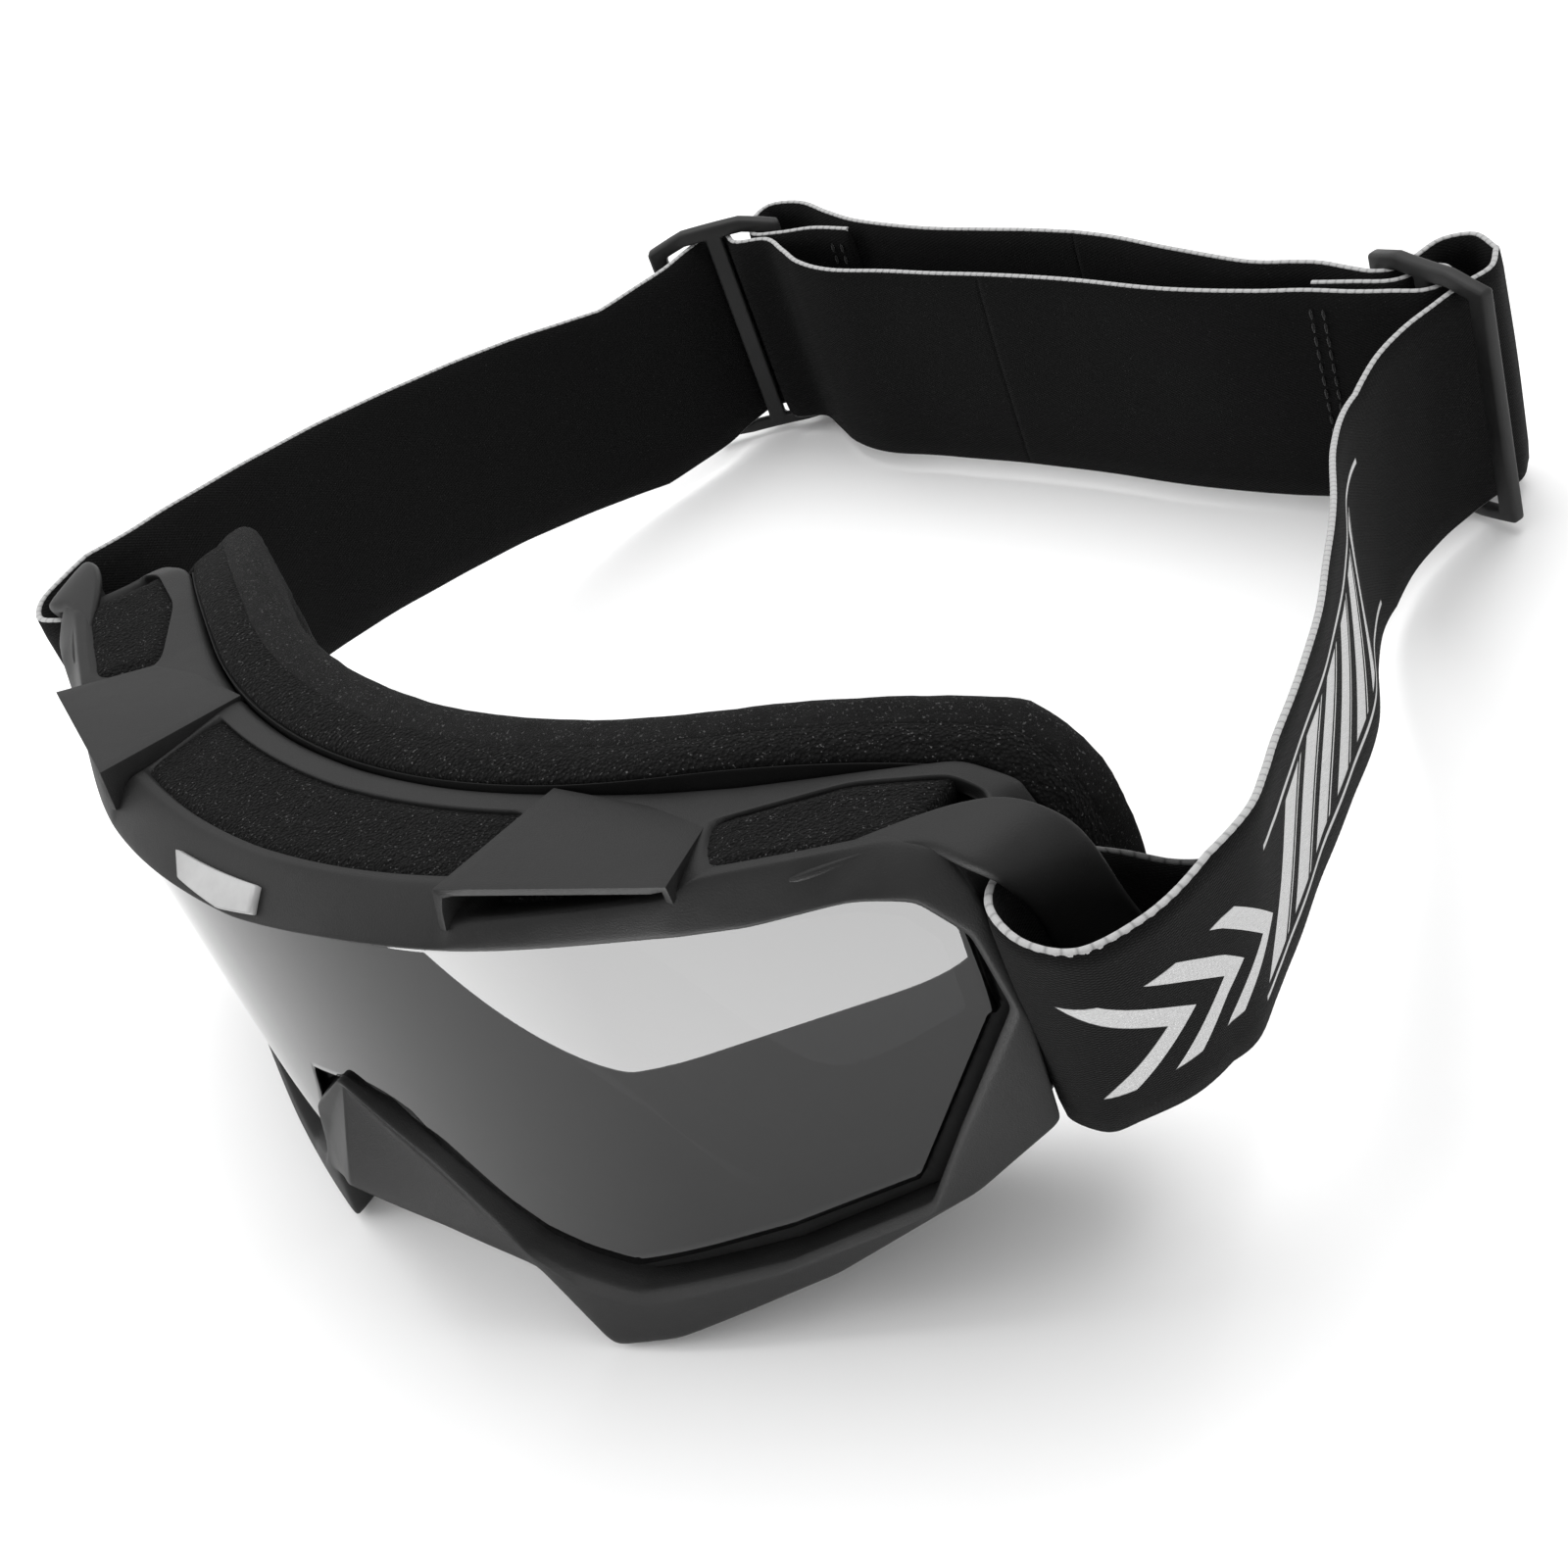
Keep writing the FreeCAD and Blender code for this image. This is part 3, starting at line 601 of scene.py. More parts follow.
# ---------------- moulded frame
# Rings of the frame's section, each as corners (x, depth behind the lens curve, z) from the
# top centre down the wearer's left side to the middle of the nose. Corners match from ring to
# ring: 0-1 brow, 2-3 and 4-5 the scoop's two sides, 6-7 side vent, 8-10 temple,
# 11-13 lower edge, 14-15 cheek tip, 16-18 nose.
HALF_RINGS = {
    "ledge": [(0, 5, 73.5), (16, 5, 73.3), (32, 5, 73.1), (33, 5, 73.1), (57, 5, 72.8), (58, 5, 72.8),
        (67, 5, 72.6), (75, 5, 72.4), (79, 5, 71), (81.5, 5, 67), (81.5, 5, 56.5), (75, 5, 43),
        (68, 5, 32), (53, 5, 26), (36, 5, 20.8), (28.5, 5, 23), (22.5, 5, 29.5), (13, 5, 45),
        (0, 5, 50)],
    "groove": [(0, 5, 78.6), (16, 5, 78.6), (32, 5, 78.2), (33, 5, 78.2), (57, 5, 78), (58, 5, 78),
        (67, 5, 77.8), (77, 5, 77.8), (83.2, 5, 76.2), (87.2, 5, 70), (88.2, 5, 57.5), (79.6, 5, 39.5),
        (73.2, 5, 25.8), (54.4, 5, 17.2), (34.4, 5, 12.4), (26.2, 5, 15.9), (20.7, 5, 20.5),
        (12.2, 5, 37), (0, 5, 45.8)],
    "inner_lip": [(0, -0.3, 77), (16, -0.3, 77.7), (32.6, -0.3, 76.7), (33.6, -0.3, 76.6),
        (57.5, -0.3, 74.9), (58.5, -0.3, 74.8), (66, -0.3, 74.8), (77, -0.3, 76.6), (82.8, -0.4, 75.4),
        (87, -0.6, 69.5), (88.7, -1, 58), (79.3, -1, 39), (73, -1, 25.6), (54.4, -1, 16.8),
        (34.3, -1, 12), (26, -1, 15.7), (20.5, -1, 20.2), (11.6, -1, 36), (0, -0.3, 46.6)],
    "crest": [(0, -0.7, 77.7), (16, -0.7, 78.4), (32.6, -0.7, 77.4), (33.6, -0.7, 77.3),
        (57.5, -0.8, 75.7), (58.5, -0.8, 75.6), (66.4, -0.8, 75.6), (77.2, -0.8, 77.4),
        (83.6, -0.9, 76.3), (88.2, -1.5, 70.3), (90.2, -2, 57.2), (80.6, -2, 39), (73.4, -2, 23.9),
        (54.5, -2, 15.4), (34, -2, 9.7), (27.3, -2.2, 12.7), (21.5, -2, 18.7), (11, -0.3, 32.3),
        (0, 0, 45)],
    "outer_edge": [(0, 5.8, 82.5), (16, 5.8, 82.5), (32.6, 5.4, 82.3), (33.4, 0.9, 79.3),
        (57.8, 0.6, 79.3), (59.6, 2.4, 81.2), (70, 3.4, 81.3), (79, 4.8, 81.2), (85.2, 3, 80.4),
        (89.2, 0.2, 73), (90.6, -0.6, 56.5), (90, -0.8, 37.2), (79, -1.2, 27), (60, -1.6, 13.6),
        (37.5, -2.2, 2.6), (27.4, -2.5, 0.2), (21.2, -1.5, 15.4), (10.5, -3.8, 23.4), (0, -7.3, 31.3)],
    "vent_front": [(0, 7, 82.3), (16, 7, 82.3), (32.4, 6.8, 82.1), (33, 2.1, 79.9), (58, 1.6, 79.9),
        (60.2, 4, 81), (70, 5, 80.9), (79.3, 6.6, 80.6), (84, 6, 79), (86.3, 3.6, 72), (86.5, 3.2, 56),
        (86.5, 3.2, 38.5), (79, 3.5, 27.3), (60, 3.5, 13.9), (38, 3.5, 3), (27.8, 3.5, 0.5),
        (21.6, 3.5, 15.6), (10.8, 2.5, 24), (0, -1, 31.8)],
    "vent_rear": [(0, 21.3, 80.9), (16, 21.3, 80.9), (31.2, 21, 80.7), (32.2, 21, 80.7),
        (52.4, 15.8, 79.6), (53.6, 16.4, 79.4), (66, 21.5, 78.4), (77, 20.5, 78), (83, 17, 76.4),
        (85.8, 15, 69.5), (86, 14, 57), (86, 15, 39.5), (79, 18, 27.8), (60, 20, 14.3), (38.8, 20, 4),
        (28.5, 20, 2), (22, 20, 16), (11, 20, 25.5), (0, 20, 33)],
    "rear_edge": [(0, 25, 80.6), (16, 25, 80.5), (31, 25, 80.2), (32, 25, 80.2), (52, 24.5, 78.4),
        (53.2, 24.5, 78.3), (65, 25, 77.4), (75.5, 25, 77), (83, 21.4, 75.4), (85.8, 20, 69),
        (86, 20, 57), (86, 20, 39.5), (79, 24, 28), (60, 25, 14.6), (39, 25, 5), (30, 25, 5),
        (23, 25, 16.5), (11.5, 25, 27), (0, 25, 33.5)],
}
STEPS = [4, 4, 1, 6, 1, 3, 3, 2, 3, 4, 5, 4, 5, 5, 3, 4, 4, 4]
CORNER_AT = np.r_[0, np.cumsum(STEPS)].tolist()
HALF_COUNT = CORNER_AT[-1]
STATIONS = 2 * HALF_COUNT
WALL = 2.6
CAVITY_FRONT = 8.2
RING_DEPTH = 5
# how far each ring's edge is rounded: the eight outer rings, then the four inside
EDGE_RADII = [0.4, 0.3, 0.25, 0.35, 0.55, 0.4, 0.4, 0.8, 0.5, 0.4, 0.4, 0.4]
WINDOW_CREASE, NOSE_CREASE = 0.75, 0.8

# windows through the frame's walls, as their first and last station on the wearer's left
BROW_WINDOW = (-CORNER_AT[2], CORNER_AT[2])
SCOOP_WINDOW = (CORNER_AT[3] + 1, CORNER_AT[4] - 1)
SIDE_WINDOW = (CORNER_AT[5], CORNER_AT[8])
SIDE_PAD = (CORNER_AT[5], CORNER_AT[7])
LOWER_WINDOW = (CORNER_AT[13] - 2, CORNER_AT[13] + 2)


def full_ring(corners):
    """Even stations round the whole ring, as (x, y, z), from half of its corners."""
    c = np.array(corners, float)
    half = []
    for i, steps in enumerate(STEPS):
        for k in range(steps):
            t = (1 - math.cos(math.pi * k / steps)) / 2
            half.append(c[i] + (c[i + 1] - c[i]) * t)
    half.append(c[-1])
    half = np.array(half)
    mirror = half[-2:0:-1] * np.array([-1, 1, 1])
    ring = np.vstack([half, mirror])
    ring[:, 1] += plan_y(ring[:, 0])
    return ring


def inset(ring, distance):
    """The ring moved inwards in the X-Z plane, across its own direction."""
    flat = ring[:, [0, 2]]
    along = np.roll(flat, -1, 0) - np.roll(flat, 1, 0)
    inward = np.stack([along[:, 1], -along[:, 0]], 1)
    inward /= np.linalg.norm(inward, axis=1)[:, None]
    moved = ring.copy()
    moved[:, [0, 2]] += distance * inward
    return moved


outer_rings = {name: full_ring(corners) for name, corners in HALF_RINGS.items()}


def bevelled(rings, radii):
    """Each ring split in two, a radius before and after it, so that its edge rounds off."""
    result = []
    for i, (ring, radius) in enumerate(zip(rings, radii)):
        for other in (rings[i - 1], rings[(i + 1) % len(rings)]):
            gap = other - ring
            length = np.linalg.norm(gap, axis=1)[:, None]
            share = np.minimum(radius / np.maximum(length, 1e-6), 0.4)
            result.append(ring + gap * share)
    return result


def at(row, station):
    """The number of the frame skin's point at a row and a station."""
    return row * STATIONS + station % STATIONS


def make_frame():
    """The moulded frame as one closed skin, with windows through its walls for the vents."""
    inner_front = inset(outer_rings["vent_front"], WALL)
    inner_front[:, 1] = plan_y(inner_front[:, 0]) + CAVITY_FRONT
    ledge_back = outer_rings["ledge"] + np.array([0, CAVITY_FRONT - RING_DEPTH, 0])
    rings = list(outer_rings.values()) + [
        inset(outer_rings["rear_edge"], WALL), inset(outer_rings["vent_rear"], WALL),
        inner_front, ledge_back]
    skins = bevelled(rings, EDGE_RADII)
    # each ring became two rows of points: these four rows border the windows
    front_out, rear_out, rear_in, front_in = 2 * 5 + 1, 2 * 6, 2 * 9 + 1, 2 * 10
    windows = [BROW_WINDOW]
    for first, last in (SCOOP_WINDOW, SIDE_WINDOW, LOWER_WINDOW):
        windows += [(first, last), (-last, -first)]
    open_stations = {s % STATIONS for a, b in windows for s in range(a, b)}
    faces = []
    for quad in grid_faces(len(skins), STATIONS, True, True):
        row, station = divmod(quad[0], STATIONS)
        if row not in (front_out, rear_in) or station not in open_stations:
            faces.append(quad)
    for first, last in windows:
        for s in range(first, last):
            for row, other in ((front_out, front_in), (rear_in, rear_out)):
                faces.append([at(row, s), at(row, s + 1), at(other, s + 1), at(other, s)])
        for end, order in ((first, 1), (last, -1)):
            side = [at(row, end) for row in (front_out, front_in, rear_in, rear_out)]
            faces.append(side[::order])
    piece = make("frame_shell", np.vstack(skins), faces, FRAME_PLASTIC,
                 ["front_frame", "nose_bridge"], rounds=2)
    crease_edges(piece, [front_out, rear_out, front_in, rear_in], open_stations)


def crease_edges(piece, rows, open_stations):
    """Hold the windows' edges and the ridge down the nose sharp when the skin is rounded."""
    mesh = piece.data
    crease = mesh.attributes.new("crease_edge", "FLOAT", "EDGE")
    values = np.zeros(len(mesh.edges), np.float32)
    nose_rows = range(6, 9)
    for i, edge in enumerate(mesh.edges):
        (ra, sa), (rb, sb) = (divmod(v, STATIONS) for v in edge.vertices)
        if ra == rb and ra in rows and (sa in open_stations or sb in open_stations):
            values[i] = WINDOW_CREASE
        if sa == sb == HALF_COUNT and ra in nose_rows and rb in nose_rows:
            values[i] = NOSE_CREASE
    crease.data.foreach_set("value", values)


make_frame()


# ---------------- vent foams
VENT_PAD_THICK, VENT_CROWN = 3.0, 0.7
VENT_ACROSS, VENT_MARGIN = 22, 0.25
UPPER_HALF_FROM = 40


def vent_pad(name, node, first, last, sink=0.9):
    """A foam pad that fills the frame's window between two stations, slightly crowned."""
    front, rear = outer_rings["vent_front"], outer_rings["vent_rear"]
    stations = np.linspace(first, last, max(12, 5 * (last - first)))
    rows = []
    for s in stations:
        low = int(math.floor(s))
        rows.append([part_way(ring[low % STATIONS], ring[(low + 1) % STATIONS], s - low)
                     for ring in (front, rear)])
    top = np.zeros((len(rows), VENT_ACROSS, 3))
    for i, (a, b) in enumerate(rows):
        end = min(i, len(rows) - 1 - i) / (len(rows) - 1)
        for j in range(VENT_ACROSS):
            t = (j + VENT_MARGIN) / (VENT_ACROSS - 1 + 2 * VENT_MARGIN)
            crown = VENT_CROWN * min(1, 8 * end) * min(1, 6 * min(t, 1 - t))
            top[i, j] = a + (b - a) * t
            top[i, j, 2] += (crown - sink) * (1 if a[2] > UPPER_HALF_FROM else -1)
    shape = rough_up(top.reshape(-1, 3), 1.4, 0.16, 3.0)
    under = shape.copy()
    under[:, 2] -= VENT_PAD_THICK * np.sign(shape[:, 2] - UPPER_HALF_FROM)
    piece = make(name, np.vstack([shape, under]), slab_faces(len(rows), VENT_ACROSS), VENT_FOAM,
                 [node])


vent_pad("vent_pad_centre", "vent_foam_centre", *BROW_WINDOW)
for name, node, window, sink in (
        ("vent_pad_{}", "vent_foam_{}", SIDE_PAD, 0.9),
        ("scoop_pad_{}", "vent_foam_centre", SCOOP_WINDOW, 2.2),
        ("vent_pad_lower_{}", "vent_foam_lower_{}", LOWER_WINDOW, 0.9)):
    for side, sign in SIDES:
        ends = sorted(sign * station for station in window)
        vent_pad(name.format(side), node.format(side), *ends, sink=sink)

# ---------------- scoops
SCOOP_THICK, SCOOP_CROWN = 1.1, 0.5
SCOOP_LANES, SCOOP_ROWS = 14, 16
SCOOP_FRONT = [(33.4, 8.2, 84.8), (60.3, 19.6, 83.2)]
SCOOP_REAR = [(31.2, 30.4, 80.6), (53.4, 34.0, 78.9)]
SCOOP_FOOT_FRONT = [(32.7, 7.0, 79.2), (59.4, 20.2, 79.6)]
SCOOP_FOOT_REAR = [(31.2, 30.4, 79.4), (53.4, 34.0, 77.7)]


def make_scoop(name, node, side):
    """A ramp that rises forwards from the rear rim, with a roof and two thin cheeks."""
    roof = []
    for t in np.linspace(0, 1, SCOOP_ROWS):
        row = []
        for s in np.linspace(0, 1, SCOOP_LANES):
            point = part_way(part_way(*SCOOP_REAR, s), part_way(*SCOOP_FRONT, s), t)
            point[2] += SCOOP_CROWN * math.sin(math.pi * t) * math.sin(math.pi * s)
            row.append(point)
        foot = [part_way(rear, front, t) for rear, front in zip(SCOOP_FOOT_REAR, SCOOP_FOOT_FRONT)]
        near_cheek = [foot[0], (foot[0] + row[0]) / 2]
        far_cheek = [(foot[1] + row[-1]) / 2, foot[1]]
        roof.append(near_cheek + row + far_cheek)
    outer = np.array(roof)
    inner = outer.copy()
    inner[:, 2:-2, 2] -= SCOOP_THICK
    inner[:, :3, 0] += SCOOP_THICK
    inner[:, -3:, 0] -= SCOOP_THICK
    points = np.vstack([outer.reshape(-1, 3), inner.reshape(-1, 3)]) * np.array([side, 1, 1])
    piece = make(name, points, slab_faces(*outer.shape[:2]), FRAME_PLASTIC,
                 [node])
    round_edges(piece, 0.35, 40)


for side, sign in SIDES:
    make_scoop(f"scoop_ramp_{side}", f"scoop_{side}", sign)

# ---------------- outriggers
# ends (front, rear) of each chord across the flap, from the frame's top down to its lower arm
FLAP = [((69.0, 26.8, 78.9), (69.0, 30.4, 79.1)), ((75.0, 31.6, 79.6), (75.4, 36.6, 79.8)),
        ((80.0, 36.4, 79.9), (80.6, 42.4, 80.0)), ((83.8, 37.6, 79.7), (84.8, 45.7, 80.1)),
        ((86.9, 37.2, 79.1), (88.3, 47.6, 79.9)), ((89.4, 37.4, 78.2), (92.2, 48.4, 78.8)),
        ((90.8, 38.4, 76.4), (95.0, 49.2, 76.4)), ((91.5, 40.0, 73.0), (97.2, 49.2, 71.6)),
        ((92.0, 42.2, 66.5), (98.2, 49.8, 65.4)), ((92.0, 42.8, 56.0), (97.8, 54.0, 55.0)),
        ((91.8, 42.6, 40.0), (97.0, 56.0, 40.0)), ((90.6, 42.0, 31.6), (95.0, 53.0, 31.2)),
        ((86.0, 41.0, 30.2), (88.0, 51.0, 30.2))]
FLAP_THICK = [1.4, 1.7, 2.0, 2.3, 2.6] + [2.8] * 8


def make_outrigger(name, node, side):
    """The curved flap that grows out of the temple and turns down into the strap's post."""
    chords = np.array(FLAP, float)
    middle = chords.mean(1)
    sections = []
    for i, (front, rear) in enumerate(chords):
        run = middle[min(i + 1, len(middle) - 1)] - middle[max(i - 1, 0)]
        chord = rear - front
        normal = np.cross(chord, run)
        normal /= np.linalg.norm(normal)
        half = np.linalg.norm(chord) / 2
        chord /= 2 * half
        outline = rounded_box(half, FLAP_THICK[i] / 2, FLAP_THICK[i] * 0.42, 3)
        sections.append([middle[i] + chord * u + normal * v for u, v in outline])
    points, faces = loft(sections)
    make(name, points * np.array([side, 1, 1]), faces, FRAME_PLASTIC, [node],
         rounds=2)


for side, sign in SIDES:
    make_outrigger(f"outrigger_flap_{side}", f"outrigger_{side}", sign)

# ---------------- flange, foam and fleece
PAD_OUTER = [(0, 81), (25, 81), (50, 80.4), (70, 77), (82, 71.5), (86.6, 61), (86.6, 39), (81.5, 27.5),
             (66, 16.5), (47, 8), (35, 6), (27.5, 12), (17, 26), (8.5, 32.6), (0, 34.5)]
PAD_INNER = [(0, 71), (25, 71), (47, 70), (63, 66.5), (71.5, 61), (74, 54), (73.5, 41), (68, 32),
             (57, 24.5), (45, 18), (37.5, 17.5), (31, 24), (21, 37), (10.5, 44), (0, 46)]
PAD_STATIONS = 300


def pad_loops():
    """Matching stations on the pad's outer and inner outline."""
    loops = []
    for half in (PAD_OUTER, PAD_INNER):
        corners = np.vstack([half, np.array(half)[-2:0:-1] * [-1, 1]])
        curve = curve_through(corners, 0.4, closed=True)
        marks = [int(np.argmin(np.linalg.norm(curve - corner, axis=1))) for corner in corners]
        marks = [0] + marks[1:] + [len(curve)]
        at_marks = [np.linspace(a, b, PAD_STATIONS // len(corners), endpoint=False)
                    for a, b in zip(marks, marks[1:])]
        wrapped = np.vstack([curve, curve[:1]])
        index = np.arange(len(wrapped))
        loops.append(np.stack([np.interp(np.concatenate(at_marks), index, wrapped[:, k])
                               for k in range(2)], 1))
    return loops


PAD_LOOPS = pad_loops()


def layer_y(x, depth, flat):
    """The depth of a layer's face at x: it follows the lens curve, then runs level."""
    return np.minimum(plan_y(x) + depth, flat)


def rounded_profile(width, depth, front_radius, back_radius, step=0.55):
    """A closed outline (across, deep) of a ring's section, in millimetres."""
    corners = ((width / 2, depth, back_radius, 0), (-width / 2, depth, back_radius, 90),
               (-width / 2, 0, front_radius, 180), (width / 2, 0, front_radius, 270))
    outline = []
    for x, y, radius, start in corners:
        middle = np.array([x - math.copysign(radius, x), y + (radius if y == 0 else -radius)])
        for angle in np.radians(np.linspace(start, start + 90, 5)):
            outline.append(middle + radius * np.array([math.cos(angle), math.sin(angle)]))
    dense = []
    for a, b in zip(outline, outline[1:] + outline[:1]):
        parts = max(1, int(np.linalg.norm(b - a) / step))
        dense += [a + (b - a) * k / parts for k in range(parts)]
    return dense


def pad_ring(name, node, material, front, back, flats, radii, grow, fuzz):
    """One ring-shaped layer; front and back are its depths, grow is how far it bulges."""
    outer, inner = PAD_LOOPS
    sections = []
    widths = np.linalg.norm(outer - inner, axis=1)
    outline = rounded_profile(float(np.median(widths)), back - front, *radii)
    half = float(np.median(widths)) / 2
    for a, b, width in zip(outer, inner, widths):
        unit = (a - b) / width
        section = []
        for u, v in outline:
            share = v / (back - front)
            swell = grow * math.sin(math.pi * share) * u / half
            flat_point = b + unit * (width / 2 + u * width / (2 * half) + swell)
            y_front = layer_y(flat_point[0], front, flats[0])
            y_back = layer_y(flat_point[0], back, flats[1])
            section.append((flat_point[0], y_front + (y_back - y_front) * share, flat_point[1]))
        sections.append(section)
    points, faces = loft(sections, loop=True)
    if fuzz:
        points = rough_up(points, 0.9, fuzz, 7.0)
    piece = make(name, points, faces, material, [node])


pad_ring("flange_ring", "face_flange", FLANGE_PLASTIC, 25.2, 27.9,
         (55.7, 58.4), (0.4, 0.4), -1.2, 0.0)
pad_ring("foam_ring", "face_foam", FACE_FOAM, 25.7, 32.6, (56.2, 62.6),
         (0.5, 0.5), 0.5, 0.12)
pad_ring("fleece_ring", "face_fleece", FLEECE, 32.2, 39.0, (62.2, 68.4),
         (0.4, 2.6), 0.5, 0.14)

# ---------------- lens, gasket and badge
LENS_TOP = [(0, 78), (64, 77), (80, 77), (84.5, 73), (85.7, 69)]
LENS_BOTTOM = [(0, 45.0), (8.6, 43.6), (12.4, 36.4), (17.8, 28.4), (24, 20.6), (28.6, 17.6), (34.2, 15.2),
               (54.9, 21.0), (71.4, 28.0), (85.2, 55.4)]


LENS_HALF, LENS_RIM = 85.7, 0.25


def make_lens():
    """A single-curved sheet of tinted plastic, with a softened rim."""
    half = np.r_[np.linspace(0, 85, 100), 85.35, LENS_HALF]
    xs = np.r_[-half[:0:-1], half]
    rows = 30
    top = np.interp(np.abs(xs), *zip(*LENS_TOP))
    bottom = np.interp(np.abs(xs), *zip(*LENS_BOTTOM))
    sheets = []
    for depth, shrink in ((LENS_FRONT, LENS_RIM), (LENS_FRONT + LENS_RIM, 0.0),
                          (LENS_BACK - LENS_RIM, 0.0), (LENS_BACK, LENS_RIM)):
        share = np.linspace(0, 1, rows)[None]
        low, high = bottom + shrink, top - shrink
        z = low[:, None] + (high - low)[:, None] * share
        x = np.repeat(xs[:, None] * (1 - shrink / LENS_HALF), rows, 1)
        sheets.append(np.stack([x, plan_y(x) + depth, z], 2).reshape(-1, 3))
    cols = len(xs)
    count = cols * rows
    points = np.vstack([sheets[0], sheets[3], sheets[1], sheets[2]])
    faces = grid_faces(cols, rows)
    faces += [[count + v for v in reversed(f)] for f in grid_faces(cols, rows)]
    belts = [0, 2 * count, 3 * count, count]
    for near, far in zip(belts, belts[1:]):
        faces += [[near + b, near + a, far + a, far + b] for a, b in rim_edges(cols, rows)]
    make("lens_sheet", points, faces, LENS, ["lens"])


make_lens()


def make_gasket():
    """The black seal that fills the groove behind the lens and shows round its edge."""
    inner = inset(outer_rings["ledge"], -0.6)
    outer = inset(outer_rings["groove"], 0.25)
    bands = []
    for ring, depth in ((inner, 2.9), (outer, 2.9), (outer, 4.8), (inner, 4.8)):
        loop = ring.copy()
        loop[:, 1] = plan_y(loop[:, 0]) + depth
        bands.append(loop)
    points = np.vstack(bands)
    faces = grid_faces(4, STATIONS, True, True)
    make("lens_seal", points, faces, GASKET, ["lens_gasket"])


make_gasket()

# the badge's outline on the slanted brow: across in X, and up the slope
BADGE_OUTLINE = [(-13.6, 0.6), (4.2, 0.6), (4.8, -3.0), (-1.6, -3.7), (-11.2, -2.5)]
BADGE_THICK = 1.0
BROW_LOW, BROW_HIGH = (-0.7, 77.9), (5.8, 82.5)


def make_badge():
    """A blank plate on the brow, bent to the frame's curve."""
    slope = np.array(BROW_HIGH) - np.array(BROW_LOW)
    slope /= np.linalg.norm(slope)
    out = np.array([-slope[1], slope[0]])
    middle = (np.array(BROW_HIGH) + np.array(BROW_LOW)) / 2
    corners = np.array(BADGE_OUTLINE, float)
    ring = []
    for a, b in zip(corners, np.roll(corners, -1, 0)):
        steps = max(2, int(np.linalg.norm(b - a) / 1.2))
        for t in np.linspace(0.04, 0.96, steps):
            ring.append(a + (b - a) * t)
    ring = np.array(ring)
    layers = []
    centre = ring.mean(0)
    for shrink, lift in ((1.0, -0.8), (1.0, BADGE_THICK * 0.8), (0.97, BADGE_THICK),
                         (0.9, BADGE_THICK), (0.6, BADGE_THICK), (0.2, BADGE_THICK)):
        layer = []
        for u, v in centre + (ring - centre) * shrink:
            depth, z = middle + slope * v + out * lift
            layer.append((u, plan_y(u) + depth, z))
        layers.append(layer)
    points, faces = loft(layers)
    make("badge_plate", points, faces, BADGE, ["badge"])


make_badge()

# ---------------- straps
STRAP_WIDTH, STRAP_THICK = 42.0, 1.4
FRONT_BOTTOM, BACK_BOTTOM = 33.5, 4.0
SLOPE_FROM, SLOPE_TO = 53.0, 172.0
STRAP_ROWS = 13
STRAP_STEP = 1.0
BINDING_STEP = 0.3
SCALLOP = 1.5


def strap_bottom(y):
    """Height of the strap's lower edge: high at the outriggers, low at the back."""
    t = np.clip((y - SLOPE_FROM) / (SLOPE_TO - SLOPE_FROM), 0, 1)
    return FRONT_BOTTOM + (BACK_BOTTOM - FRONT_BOTTOM) * t


def ribbon_frame(route, spacing):
    """A strap's middle line in plan, the direction across its thickness, and its lean.

    A route's points are (x, y) or (x, y, lean x, lean y, gather): the top edge stands out by
    the lean, the bottom edge in by it, and gathering brings the top edge down.
    """
    padded = [tuple(p) + (0.0,) * (5 - len(p)) for p in route]
    path = curve_through(padded, spacing)
    along = np.gradient(path[:, :2], axis=0)
    along /= np.linalg.norm(along, axis=1)[:, None]
    return path[:, :2], np.stack([-along[:, 1], along[:, 0]], 1), path[:, 2:]


def ripple(point, h):
    """The small waves of a strap that stands on edge, the same for two pieces that meet."""
    along = 0.7 * point[0] + point[1]
    return 0.13 * math.sin(along / 6 + h / 9) + 0.06 * math.sin(along / 2.6 - h / 6)


def strap_point(point, normal, lean, h, sideways):
    """A point of the strap at height h from its middle, sideways from its middle sheet."""
    x, y = point + normal * (sideways + ripple(point, h)) + lean[:2] * h / (STRAP_WIDTH / 2)
    share = 1 - lean[2] / STRAP_WIDTH
    return x, y, strap_bottom(point[1]) + (STRAP_WIDTH / 2 + h) * share


def ribbon(name, route, nodes, material, outside, dark=0.0):
    """A strip of webbing on edge, with its bound edges.

    outside is the printed side's sign. The upper binding is dark up to the length dark.
    """
    path, across, leans = ribbon_frame(route, STRAP_STEP)
    heights = np.linspace(-0.5, 0.5, STRAP_ROWS) * (STRAP_WIDTH - 0.8)
    profile = [(h, 1) for h in heights] + [(h, -1) for h in heights[::-1]]
    sections = [[strap_point(p, n, lean, h, face * STRAP_THICK / 2
                             * (1 - max(0.0, abs(h) / (STRAP_WIDTH / 2) - 0.9) * 4))
                 for h, face in profile] for p, n, lean in zip(path, across, leans)]
    points, faces = loft(sections)
    attributes = {"along": np.repeat(np.arange(len(path)) * STRAP_STEP, len(profile)),
                  "across": [h for h, face in profile] * len(path),
                  "outside": [float(face == outside) for h, face in profile] * len(path)}
    strap = make(name, points, faces, material, nodes, None, attributes)
    bindings = [bind_edge(f"{name}_upper_edge", route, 0.5, BINDING, from_s=dark),
                bind_edge(f"{name}_lower_edge", route, -0.5, DARK_BINDING)]
    if dark:
        bindings.append(bind_edge(f"{name}_inner_edge", route, 0.5, DARK_BINDING, to_s=dark))
    for piece in [strap] + bindings:
        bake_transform(piece)


